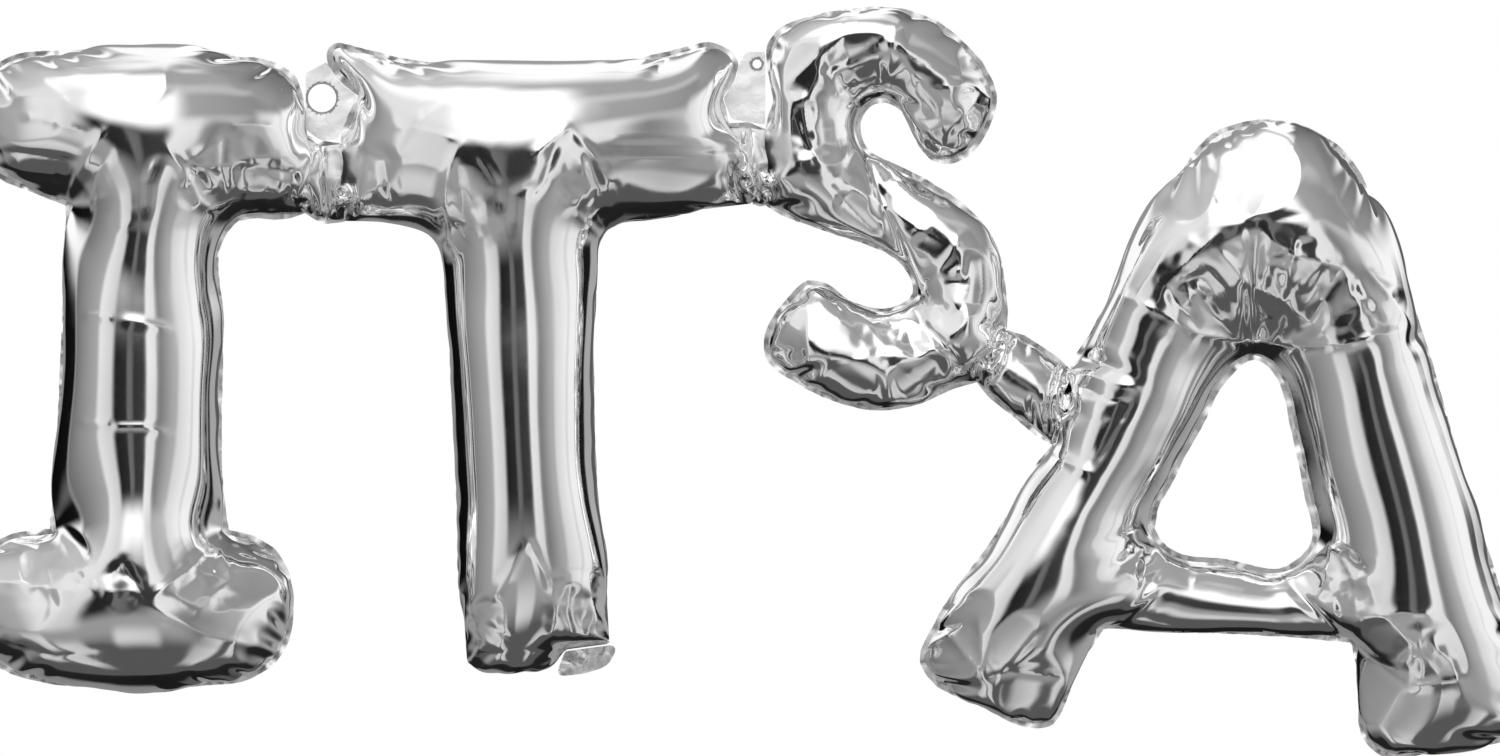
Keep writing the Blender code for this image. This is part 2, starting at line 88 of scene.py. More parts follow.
# How far the flat cut stands outside the inflated outline: share of the stroke's half width, at most this
# share of half the gap beside it, and rounds of blurring, before and after it is led into the gates
FILL = 0.575
FILL_GAP = 0.8
CORNER_BLUR = 900
CUT_BLUR = 60

# The half widths: the widest, the outline beside a point that doesn't face it across a gap, the distance
# that is too near to face it across the stroke, and the least facing
MOST_RADIUS = 60.0
CORNER_SPAN = 42.0
TOO_NEAR = 3.0
LEAST_FACING = 0.01

# The seam's slack: rounds of blurring along the seam, how much a tight seam draws its cut back and the least
# that it keeps, how much the seam across the stroke makes up for it, and what a hole's seam keeps
SLIDE = 1600
TIGHT = 0.8
LEAST_GIVE = 0.25
MAKE_UP = 0.7
HOLE_GIVE = 0.3

# The cut at a gate: how far it stands out, how much longer it is, the share of the shift that it keeps, how
# far this reaches, how far no slack slides, and over what length it comes free
GATE_SLACK = 2.0
GATE_GROW = 0.1
GATE_KEEPS = {"i_t": 0.5, "t_left": 0.5, "t_right": 0.5, "t_s": 0.6, "s_a": 0.6, "a_left": 0.9}
GATE_NEAR = 9.0
GATE_HELD = 2.0
GATE_FREED = 18.0

# A point of the seam is in a gate this near to its line and this share of it from both ends
GATE_WITHIN = 1.0
GATE_END = 0.02

# The opening of a gate: the power of its lens, height and number of the finer folds as shares of the main
# ones, and how far and how often the opening wanders along the row
LENS = 0.8
FINE_SHARE = 0.5
FINE_NUMBER = 1.9
WANDER = 0.8
WANDER_NUMBER = 1.6

# Levels of the solver, coarse to fine: spacing of the points, steps, push of the air, how much the film
# resists being squeezed, little where its folds are finer than its points, and the share of the steps over
# which the seam is drawn to its place; and the spacing in the necks as a share of that in the letters
LEVELS = [(8.0, 600, 0.24, 0.1, 0.6), (4.2, 350, 0.20, 0.5, 0.02), (2.3, 350, 0.14, 0.9, 0.02)]
NECK_SPACING = 0.5

# The stroke's width that the push is meant for, the steps between its updates, the stiffness against
# bending, the speed kept from step to step, and the unevenness that starts the folds
PUSH_SPAN = 51.0
PUSH_EVERY = 4
BEND = 0.002
DAMPING = 0.985
JITTER = 0.12

# How far the flat sheets are lifted apart, as a share of the distance from the seam up to a limit
LIFT = 0.25
LIFT_WITHIN = 14

# Smoothing of the smallest wrinkles: rounds, and each round's pull in and push out again
SMOOTHING = 10
PULL_IN = 0.5
PUSH_OUT = -0.53

# Offset of the back sheet's gathers from the front sheet's, where their pattern is read
BACK_OFFSET = 40.0

# How near to the seam's plane a packed point counts as flat, the share of the spacing that inner points keep
# from the border, and the seam's waves out of its plane: height, size, pattern
FLAT_WITHIN = 0.05
INNER_GAP = 0.65
PUCKERS = ((0.9, 9.0, 3.1), (0.5, 4.2, 7.7))


# Outlines and the flat cut

def outline_loops(name):
    """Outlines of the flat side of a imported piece, outer loop first, clockwise as seen from the front."""
    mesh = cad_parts[name].data
    mesh.calc_loop_triangles()
    points = np.array([v.co for v in mesh.vertices]) / MM
    triangles = np.array([t.vertices for t in mesh.loop_triangles])
    merged, index = np.unique(np.round(points, 2), axis=0, return_inverse=True)
    triangles = index.reshape(-1)[triangles]
    depth = np.abs(merged[:, 1])
    flat = (np.abs(depth - depth.min()) < FLAT_WITHIN) & (merged[:, 1] < 0)
    triangles = triangles[flat[triangles].all(axis=1)]
    border = dict(rim_edges(triangles).tolist())
    loops = []
    while border:
        start = min(border)
        loop, at = [start], border.pop(start)
        while at != start:
            loop.append(at)
            at = border.pop(at)
        loops.append(merged[loop][:, [0, 2]])
    loops.sort(key=lambda loop: -abs(signed_area(loop)))
    return [loop if (signed_area(loop) < 0) == (i == 0) else loop[::-1] for i, loop in enumerate(loops)]


def signed_area(loop):
    x, z = loop.T
    return 0.5 * float(np.sum(x * np.roll(z, -1) - z * np.roll(x, -1)))


def smooth_loop(loop, corner=math.radians(38), fine=0.5):
    """The loop as a smooth curve through its points, with its sharp corners kept."""
    ahead = np.roll(loop, -1, axis=0) - loop
    length = np.linalg.norm(ahead, axis=1)
    ahead = ahead / length[:, None]
    behind, behind_length = np.roll(ahead, 1, axis=0), np.roll(length, 1)
    turn = np.arccos(np.clip((ahead * behind).sum(1), -1, 1))
    tangent = behind * length[:, None] + ahead * behind_length[:, None]
    tangent /= np.linalg.norm(tangent, axis=1)[:, None]
    points = []
    for i in range(len(loop)):
        j = (i + 1) % len(loop)
        leave = ahead[i] if turn[i] > corner else tangent[i]
        arrive = ahead[i] if turn[j] > corner else tangent[j]
        count = max(1, math.ceil(length[i] / fine))
        t = np.arange(count)[:, None] / count
        first, last = loop[i] + leave * length[i] / 3, loop[j] - arrive * length[i] / 3
        points.append(
            (1 - t) ** 3 * loop[i] + 3 * (1 - t) ** 2 * t * first + 3 * (1 - t) * t**2 * last + t**3 * loop[j]
        )
    return np.vstack(points)


def outward(line, closed=True):
    """Directions out of the outline at the points of a clockwise line."""
    ahead = np.roll(line, -1, axis=0) - np.roll(line, 1, axis=0)
    if not closed:
        ahead[0], ahead[-1] = line[1] - line[0], line[-1] - line[-2]
    ahead /= np.linalg.norm(ahead, axis=1)[:, None]
    return np.column_stack([-ahead[:, 1], ahead[:, 0]])


def blur(values, times):
    for _ in range(times):
        values = (np.roll(values, 1, axis=0) + 2 * values + np.roll(values, -1, axis=0)) / 4
    return values


def steps_of(loop):
    """Length from each point of a closed loop to the next."""
    return np.linalg.norm(np.roll(loop, -1, axis=0) - loop, axis=1)


def reach_of(loop):
    """Length along a closed loop at each of its points, and in all."""
    steps = steps_of(loop)
    return np.cumsum(steps) - steps, steps.sum()


def reach_along(path):
    """Length along an open path at each of its points."""
    return np.concatenate([[0], np.cumsum(np.linalg.norm(np.diff(path, axis=0), axis=1))])


def ringed(loop):
    return np.vstack([loop, loop[:1]])


def read_at(at, reach, path):
    """The path's points (x, z) at the given lengths along it."""
    return np.column_stack([np.interp(at, reach, path[:, k]) for k in (0, 1)])


def spaced(loop, partner, step):
    """Points at even steps along the loop, and the matching points of its partner."""
    reach = reach_along(ringed(loop))
    at = np.linspace(0, reach[-1], max(8, round(reach[-1] / step)), endpoint=False)
    return [read_at(at, reach, ringed(line)) for line in (loop, partner)]


def along_gate(points, gate):
    """Each point's share of the way down the gate, and its distance from the gate's line."""
    top, bottom = np.array(GATES[gate][0]), np.array(GATES[gate][1])
    span = bottom - top
    share = (points - top) @ span / (span @ span)
    on_line = top + np.clip(share, 0, 1)[:, None] * span
    return np.clip(share, 0, 1), np.linalg.norm(points - on_line, axis=1)


def in_gate(points, gate):
    """Each point's share of the way down the gate, and whether it is in the gate's opening."""
    share, apart = along_gate(points, gate)
    return share, (apart < GATE_WITHIN) & (share > GATE_END) & (share < 1 - GATE_END)


def gate_places(share, gate, side):
    """Pinned places of the film in a gate: a lens-shaped opening gathered into small folds."""
    top, bottom, depth, folds, height, seed = GATES[gate]
    top, bottom = np.array(top), np.array(bottom)
    span = bottom - top
    across = np.array([-span[1], span[0]]) / np.linalg.norm(span)
    lens = np.sqrt(np.maximum(4 * share * (1 - share), 0)) ** LENS
    phase = seed * 0.7 + (0.9 if side > 0 else 0.0)
    ripple = np.sin(2 * math.pi * folds * share + phase)
    ripple += FINE_SHARE * np.sin(2 * math.pi * folds * FINE_NUMBER * share + 1.7 * phase)
    wander = WANDER * np.sin(2 * math.pi * WANDER_NUMBER * share + 2.3 * phase) * lens
    flat = top + share[:, None] * span + across * wander[:, None]
    y = side * (depth * lens + height * ripple * lens)
    return np.column_stack([flat[:, 0], y, flat[:, 1]])


def wrinkled(points, *waves):
    """Sum of noises at points (x, z), each with its height, its size and a number for its pattern."""
    return np.array([
        sum(high * noise.noise((x / size, seed, z / size)) for high, size, seed in waves) for x, z in points
    ])


def pucker(points):
    """How far the welded seam stands out of its plane, for points (x, z)."""
    return wrinkled(points, *PUCKERS)


def slid(loop, cut, freedom):
    """The cut's points slid along it, so that the seam's slack is spread out; and its slack at each point."""
    along, whole = reach_of(loop)
    along_cut, whole_cut = reach_of(cut)
    even = along * whole_cut / whole
    ahead = along_cut - even
    ahead = ahead + (blur(ahead, SLIDE) - ahead) * freedom
    moved = read_at((even + ahead) % whole_cut, np.append(along_cut, whole_cut), ringed(cut))
    return moved, blur(steps_of(moved) / steps_of(loop), SLIDE // 2)


def flat_cut(loops, gates):
    """The inflated outline and the flat cut that it is blown up from, as matching dense loops."""
    dense = [smooth_loop(loop) for loop in loops]
    everything = np.vstack(dense)
    which = np.repeat(np.arange(len(dense)), [len(loop) for loop in dense])
    along = np.concatenate([reach_of(loop)[0] for loop in dense])
    rooms, partners = [], []
    for k, loop in enumerate(dense):
        away = everything[None] - loop[:, None]
        distance = (away**2).sum(2)
        own, whole = reach_of(loop)
        apart = np.abs(along[None] - own[:, None])
        beside = (which[None] == k) & (np.minimum(apart, whole - apart) < CORNER_SPAN)
        room = []
        # Radius of the largest circle that touches the outline here, inside the stroke and then outside it
        for side, skipped in ((-1, distance <= TOO_NEAR**2), (1, beside)):
            facing = 2 * side * (away * outward(loop)[:, None]).sum(2)
            counts = (facing > LEAST_FACING) & ~skipped
            radius = np.where(counts, distance / np.maximum(facing, LEAST_FACING), MOST_RADIUS)
            room.append(np.minimum(radius.min(axis=1), MOST_RADIUS))
            if side < 0:
                partners.append(radius.argmin(axis=1))
        rooms.append(room)
    give = [np.full(len(loop), HOLE_GIVE if k else 1.0) for k, loop in enumerate(dense)]
    for _ in range(2):
        shares, cuts, slacks = np.concatenate(give), [], []
        for loop, room, partner, own in zip(dense, rooms, partners, give):
            wanted = FILL * room[0] * (own + MAKE_UP * (1 - shares[partner]))
            shift = blur(outward(loop) * np.minimum(wanted, FILL_GAP * room[1])[:, None], CORNER_BLUR)
            freedom = np.ones(len(loop))
            for gate in gates:
                share, apart = along_gate(loop, gate)
                span = np.array(GATES[gate][1]) - np.array(GATES[gate][0])
                near = np.clip(apart / GATE_NEAR, 0, 1)[:, None]
                slack = outward(loop) * GATE_SLACK * (apart < GATE_WITHIN)[:, None]
                pull = (share[:, None] - 0.5) * span * GATE_GROW + slack + shift * GATE_KEEPS[gate]
                shift = near * shift + (1 - near) * pull
                freedom *= np.clip((apart - GATE_HELD) / GATE_FREED, 0, 1)
            cut, slack = slid(loop, loop + blur(shift, CUT_BLUR), blur(freedom, CUT_BLUR))
            cuts.append(cut)
            slacks.append(slack)
        give[0] = np.clip(1 - TIGHT * (1 - slacks[0]), LEAST_GIVE, 1.0)
    return dense, cuts


# Triangles and their edges

def inside(points, loops):
    crossings = np.zeros(len(points), int)
    for loop in loops:
        for (x0, z0), (x1, z1) in zip(loop, np.roll(loop, -1, axis=0)):
            if z0 != z1:
                spans = (z0 > points[:, 1]) != (z1 > points[:, 1])
                crossings[spans] += points[spans, 0] < (x1 - x0) * (points[spans, 1] - z0) / (z1 - z0) + x0
    return crossings % 2 == 1


def nearest(points, others):
    """For each point, which of the others is nearest, and how far it is."""
    tree = KDTree(len(others))
    for i, (x, z) in enumerate(others):
        tree.insert((x, z, 0), i)
    tree.balance()
    found = [tree.find((x, z, 0)) for x, z in points]
    return np.array([f[1] for f in found]), np.array([f[2] for f in found])


def inner_points(loops, step):
    """Even rows of points inside the loops, and how far each is from the border."""
    low, high = loops[0].min(axis=0), loops[0].max(axis=0)
    row = step * math.sqrt(3) / 2
    rows = []
    for j in range(int((high[1] - low[1]) / row) + 1):
        xs = low[0] + step / 2 * (j % 2) + step * np.arange(int((high[0] - low[0]) / step) + 1)
        rows.append(np.column_stack([xs, np.full(len(xs), low[1] + j * row)]))
    points = np.vstack(rows)
    points = points[inside(points, loops)]
    apart = nearest(points, np.vstack(loops))[1]
    kept = apart > step * INNER_GAP
    return points[kept], apart[kept]


def delaunay(points, edges, kind):
    found = geometry.delaunay_2d_cdt([Vector(p) for p in points], edges, [], kind, 1e-6)
    return np.array([(v.x, v.y) for v in found[0]]), np.array([list(face) for face in found[2]])


def triangulated(loops, extra):
    """Triangles over the loops and the extra points, counter-clockwise as seen from the front."""
    edges, first = [], 0
    for loop in loops:
        edges += [(first + i, first + (i + 1) % len(loop)) for i in range(len(loop))]
        first += len(loop)
    points, faces = delaunay(np.vstack([*loops, extra]), edges, 1)
    for hole in loops[1:]:
        faces = faces[~inside(points[faces].mean(axis=1), [hole])]
    a, b, c = points[faces.T]
    turned = (b[:, 0] - a[:, 0]) * (c[:, 1] - a[:, 1]) < (b[:, 1] - a[:, 1]) * (c[:, 0] - a[:, 0])
    faces[turned] = faces[turned][:, ::-1]
    return points, faces


def read_over(flat, triangles, points):
    """For each point, the corners of the triangle that it lies in, and its share of each of them."""
    tree = BVHTree.FromPolygons([(x, z, 0) for x, z in flat], triangles.tolist())
    found = [tree.find_nearest((x, z, 0)) for x, z in points]
    corners = triangles[[f[2] for f in found]]
    a, b, c = flat[corners.T]
    ab, ac, ap = b - a, c - a, np.array([f[0][:2] for f in found]) - a
    area = ab[:, 0] * ac[:, 1] - ac[:, 0] * ab[:, 1]
    u = (ap[:, 0] * ac[:, 1] - ac[:, 0] * ap[:, 1]) / area
    v = (ab[:, 0] * ap[:, 1] - ap[:, 0] * ab[:, 1]) / area
    return corners, np.column_stack([1 - u - v, u, v])


def corners_of(faces):
    """Each face three times, from each of its corners on."""
    return np.concatenate([np.roll(faces, -k, axis=1) for k in range(3)])


def edges_of(faces):
    """The edges, and for each side of the faces the numbers of its edges."""
    ends = np.sort(corners_of(faces)[:, :2], axis=1)
    edges, index = np.unique(ends, axis=0, return_inverse=True)
    return edges, index.reshape(3, -1)


def rim_edges(faces):
    """Directed edges that only one face has."""
    a, b = corners_of(faces)[:, :2].T
    size = faces.max() + 1
    rim = ~np.isin(a * size + b, b * size + a)
    return np.column_stack([a[rim], b[rim]])


def across_edges(faces):
    """Pairs of points that face each other across an edge."""
    corners = corners_of(faces)
    ends = np.sort(corners[:, :2], axis=1)
    order = np.lexsort((ends[:, 1], ends[:, 0]))
    ends, facing = ends[order], corners[order, 2]
    shared = np.nonzero((ends[1:] == ends[:-1]).all(axis=1))[0]
    return np.column_stack([facing[shared], facing[shared + 1]])


def added_up(index, values, count):
    """Sums of the rows of values that share an index."""
    return np.column_stack([np.bincount(index, column, minlength=count) for column in values.T])


def face_sums(places, faces):
    """For each point, the sum of its faces' normals, each as long as twice its area."""
    a, b, c = places[faces.T]
    return added_up(faces.T.ravel(), np.tile(np.cross(b - a, c - a), (3, 1)), len(places))


def normals_of(places, faces):
    total = face_sums(places, faces)
    return total / np.maximum(np.linalg.norm(total, axis=1), 1e-12)[:, None]


def around(points, edges):
    """For each point, the mean of its neighbours, and how many they are."""
    a, b = edges.T
    total = added_up(a, points[b], len(points)) + added_up(b, points[a], len(points))
    degree = np.bincount(edges.ravel(), minlength=len(points))[:, None]
    return total / degree, degree


def batches(pairs, count):
    """The pairs in groups in which no point comes twice."""
    used = [0] * count
    group = np.empty(len(pairs), int)
    for k, (a, b) in enumerate(pairs.tolist()):
        free = ~(used[a] | used[b])
        bit = free & -free
        group[k] = bit.bit_length() - 1
        used[a] |= bit
        used[b] |= bit
    return [pairs[group == g] for g in range(group.max() + 1)]


# The film blown up

class Film:
    """Front and back sheets from one flat cut, welded along the seam and open at the gates."""

    def __init__(self, dense, cuts, gates, step):
        flat_lines, seam_lines = zip(*[spaced(cut, loop, step) for cut, loop in zip(cuts, dense)])
        border = np.vstack(seam_lines)
        extra, apart = inner_points(flat_lines, step)
        self.flat, self.sheet = triangulated(flat_lines, extra)
        self.step = step
        self.border = len(border)
        self.loop_sizes = [len(line) for line in seam_lines]
        front = np.column_stack([border[:, 0], pucker(border), border[:, 1]])
        back = front.copy()
        welded = np.arange(len(self.flat)) < self.border
        for gate in gates:
            share, opened = in_gate(border, gate)
            front[opened] = gate_places(share[opened], gate, -1)
            back[opened] = gate_places(share[opened], gate, 1)
            welded[: self.border] &= ~opened
        # A welded point is one point in both sheets; every other has a twin in the back sheet.
        self.own = np.nonzero(~welded)[0]
        self.twin = np.arange(len(self.flat))
        self.twin[self.own] = len(self.flat) + np.arange(len(self.own))
        self.count = len(self.flat) + len(self.own)
        opened = np.nonzero(~welded[: self.border])[0]
        self.pins = np.concatenate([np.arange(self.border), self.twin[opened]])
        self.pin_places = np.vstack([front, back[opened]])
        self.held = np.isin(np.arange(self.count), self.pins)
        self.apart = np.concatenate([np.zeros(self.border), apart])
        self.faces = np.vstack([self.sheet, self.twin[self.sheet][:, ::-1]])
        pairs = across_edges(self.sheet)
        self.edge_groups = self.lengths(edges_of(self.faces)[0])
        self.bend_groups = self.lengths(np.vstack([pairs, self.twin[pairs]]))

    def both(self, front, back):
        """Values for all points: the front sheet's, then the back sheet's own ones."""
        return np.concatenate([front, back[self.own]])

    def lengths(self, pairs):
        flat = self.both(self.flat, self.flat)
        groups = [group.T for group in batches(pairs, self.count)]
        return [(a, b, np.linalg.norm(flat[a] - flat[b], axis=1)) for a, b in groups]

    def seam_places(self):
        """For each point, the place of the seam nearest to it on the flat film, and how far it is."""
        near = nearest(self.flat, self.flat[: self.border])[0]
        line = self.pin_places[near] * (1, 0, 1)
        return self.both(line, line + (0, BACK_OFFSET, 0)), self.both(self.apart, self.apart)

    def flat_start(self):
        """The two flat sheets, lifted apart a little."""
        lift = np.minimum(self.apart, LIFT_WITHIN) * LIFT
        x, z = self.both(self.flat, self.flat).T
        return np.column_stack([x, self.both(-lift, lift), z])

    def carried(self, coarse, places):
        """Places of a coarser film's sheets, read at this film's points."""
        corners, shares = read_over(coarse.flat, coarse.sheet, self.flat)
        sheets = (corners, coarse.twin[corners])
        return self.both(*[(places[sheet] * shares[..., None]).sum(1) for sheet in sheets])

    def relaxed(self, places, steps, push, squeezing, travel):
        """The film blown up: its lengths kept, its pins drawn to their places over the share of travel."""
        groups = []
        for source, stiffness, squeeze in ((self.bend_groups, BEND, 1.0), (self.edge_groups, 1.0, squeezing)):
            for a, b, rest in source:
                free_a, free_b = ~self.held[a] * 1.0, ~self.held[b] * 1.0
                total = np.maximum(free_a + free_b, 1)
                groups.append((a, b, rest, free_a / total * stiffness, free_b / total * stiffness, squeeze))
        start = places[self.pins].copy()
        six_faces = self.step**2 * math.sqrt(3) / 2 * 6
        gain = push * self.step / (2 * PUSH_SPAN / self.step) / six_faces
        speed = np.zeros_like(places)
        for k in range(steps):
            if k % PUSH_EVERY == 0:
                force = gain * face_sums(places, self.faces)
                force[self.pins] = 0
            before = places.copy()
            places = places + speed + force
            for a, b, rest, share_a, share_b, squeeze in groups:
                span = places[b] - places[a]
                length = np.sqrt(np.einsum("ij,ij->i", span, span))
                excess = (length - rest) / length
                excess = np.where(excess < 0, excess * squeeze, excess)
                places[a] += span * (share_a * excess)[:, None]
                places[b] -= span * (share_b * excess)[:, None]
            share = min(1.0, (k + 1) / (steps * travel))
            places[self.pins] = start + (self.pin_places - start) * share
            speed = (places - before) * DAMPING
        return places

    def smoothed(self, places):
        """The film with its smallest wrinkles smoothed away and its fullness kept."""
        edges = edges_of(self.faces)[0]
        for pull in (PULL_IN, PUSH_OUT) * SMOOTHING:
            moved = places + (around(places, edges)[0] - places) * pull
            places = np.where(self.held[:, None], places, moved)
        return places


def blown_up(name):
    """The inflated film of one piece, as the finest Film and the places of its points."""
    gates = FILMS[name][0]
    loops = outline_loops(f"{name}_front")
    for gate in gates:
        for end in GATES[gate][:2]:
            near = np.argmin(np.linalg.norm(loops[0] - np.array(end), axis=1))
            loops[0][near] = end
    dense, cuts = flat_cut(loops, gates)
    random = np.random.default_rng(len(name) * 31 + ord(name[-1]))
    film = None
    for step, steps, push, squeezing, travel in LEVELS:
        finer = Film(dense, cuts, gates, step * (NECK_SPACING if name.startswith("neck") else 1))
        places = finer.carried(film, places) if film else finer.flat_start()
        places[~finer.held] += random.normal(0, JITTER, (finer.count - finer.held.sum(), 3))
        film = finer
        places = film.relaxed(places, steps, push, squeezing, travel)
    return film, places


def refined(points, faces, fixed):
    """Four faces for each, smoothed except at the fixed points, with the usual weights for triangles."""
    edges, index = edges_of(faces)
    a, b = edges.T
    ab, bc, ca = len(points) + index
    index = index.ravel()
    facing = added_up(index, points[corners_of(faces)[:, 2]], len(edges))
    smooth = (np.bincount(index) == 2) & ~(fixed[a] & fixed[b])
    straight = (points[a] + points[b]) / 2
    middle = np.where(smooth[:, None], straight * 0.75 + facing / 8, straight)
    mean, degree = around(points, edges)
    share = 0.625 - (0.375 + 0.25 * np.cos(2 * math.pi / degree)) ** 2
    moved = np.where(fixed[:, None], points, points * (1 - share) + mean * share)
    p, q, r = faces.T
    finer = [np.column_stack(corners) for corners in ((p, ab, ca), (ab, q, bc), (ca, bc, r), (ab, bc, ca))]
    return np.vstack([moved, middle]), np.vstack(finer)


# Pieces of film, seam and tab as meshes

# The seam's strip: thickness, width outside the film and its waves, rows across it from its lap in the film
# to its edge, spacing along it, share of the width left at an open end, the length over which it narrows
# there, and how much more its edge puckers
SEAM_THICK = 0.30
SEAM_WIDE = 2.0
SEAM_WAVES = ((0.35, 6.0, 5.5), (0.2, 2.3, 8.5))
SEAM_ROWS = (-0.25, 0.4, 1.0)
SEAM_STEP = 1.2
SEAM_END = 0.15
SEAM_TAPER = 9.0
EDGE_PUCKER = 0.7

# Flat tabs and valve: thickness, spacing, how far from the border they are crumpled in full, and the size,
# pattern and mean of the crumples
TAB_THICK = 0.24
TAB_STEP = 1.6
TAB_CALM = 5
TAB_SIZE = 11
TAB_PATTERN = 2.2
TAB_MEAN = 1.2


def mesh_piece(name, points, faces, material, sharp_deg=None):
    """A smooth mesh in the scene, from points in mm; edges that bend more than sharp_deg stay sharp."""
    data = bpy.data.meshes.new(name)
    data.from_pydata((points * MM).tolist(), [], faces)
    data.validate()
    data.shade_smooth()
    if sharp_deg:
        data.set_sharp_from_angle(angle=math.radians(sharp_deg))
    data.materials.append(material)
    return linked(name, data)


def linked(name, data):
    piece = bpy.data.objects.new(name, data)
    bpy.context.scene.collection.objects.link(piece)
    return piece


def flat_film(name, crumple, grow, material):
    """A flat piece of film from a packed plate, with its holes, grown a little and crumpled inside."""
    loops = []
    for i, loop in enumerate(outline_loops(name)):
        line = smooth_loop(loop)
        if i == 0:
            line = line + outward(line) * grow
        loops.append(spaced(line, line, TAB_STEP)[0])
    extra, apart = inner_points(loops, TAB_STEP)
    flat, sheet = triangulated(loops, extra)
    depth = np.concatenate([np.zeros(len(flat) - len(extra)), np.minimum(apart / TAB_CALM, 1)])
    places = [(x / TAB_SIZE, TAB_PATTERN, z / TAB_SIZE) for x, z in flat]
    folds = np.array([noise.ridged_multi_fractal(place, 1.0, 2.1, 3, 1.0, 2.0) for place in places])
    lift = pucker(flat) + depth * crumple * (folds - TAB_MEAN) - TAB_THICK / 2
    front = np.column_stack([flat[:, 0], lift, flat[:, 1]])
    count = len(front)
    a, b = rim_edges(sheet).T
    walls = [np.column_stack([b, a, a + count]), np.column_stack([b, a + count, b + count])]
    faces = np.vstack([sheet, sheet[:, ::-1] + count, *walls]).tolist()
    return mesh_piece(name + "_film", np.vstack([front, front + (0, TAB_THICK, 0)]), faces, material, 60)


def seam_runs(film, gates):
    """Runs of the seam between the gates, highest first, as points (x, z); a hole is one closed run."""
    border = film.pin_places[: film.border][:, [0, 2]]
    runs, first = [], 0
    for size in film.loop_sizes:
        loop = border[first : first + size]
        first += size
        opened = np.any([in_gate(loop, gate)[1] for gate in gates], axis=0)
        if not opened.any():
            runs.append((loop, True))
            continue
        start = next(i for i in range(size) if opened[i - 1] and not opened[i])
        loop, opened = np.roll(loop, -start, axis=0), np.roll(opened, -start)
        breaks = [i for i in range(1, size) if opened[i] != opened[i - 1]] + [size]
        for begin, end in zip([0, *breaks], breaks):
            if not opened[begin]:
                runs.append((loop[begin:end], False))
    return sorted(runs, key=lambda run: -run[0][:, 1].mean())


def edge_strip(name, runs):
    """The welded edge outside the film: a thin puckered strip along each run."""
    points, faces, count = [], [], 0
    for line, closed in runs:
        path = ringed(line) if closed else line
        reach = reach_along(path)
        at = np.linspace(0, reach[-1], max(3, round(reach[-1] / SEAM_STEP)), endpoint=not closed)
        path = read_at(at, reach, path)
        wide = SEAM_WIDE + wrinkled(path, *SEAM_WAVES)
        if not closed:
            wide *= np.clip(SEAM_END + np.minimum(at, reach[-1] - at) / SEAM_TAPER, 0, 1)
        rows = []
        for share in SEAM_ROWS:
            place = path + outward(path, closed) * (wide * share)[:, None]
            lift = pucker(place) * (1 + EDGE_PUCKER * max(share, 0))
            rows.append(np.column_stack([place[:, 0], lift, place[:, 1]]))
        for side in (-1, 1):
            points += [row + (0, side * SEAM_THICK / 2, 0) for row in rows]
        size = len(path)
        ring = [0, 1, 2, 5, 4, 3]
        for i in range(size if closed else size - 1):
            j = (i + 1) % size
            for low, high in zip(ring, ring[1:] + ring[:1]):
                corners = (low * size + i, high * size + i, high * size + j, low * size + j)
                faces.append([count + corner for corner in corners])
        if not closed:
            for end, order in ((0, ring[::-1]), (size - 1, ring)):
                faces.append([count + row * size + end for row in order])
        count += 6 * size
    return mesh_piece(name + "_strip", np.vstack(points), faces, SEAM, 50)


# Creases, crumpled patches and flat facets

# The photograph's pixels, in mm of the part's frame
PIXEL = 0.42308
PIXEL_ORIGIN = (757, 64)

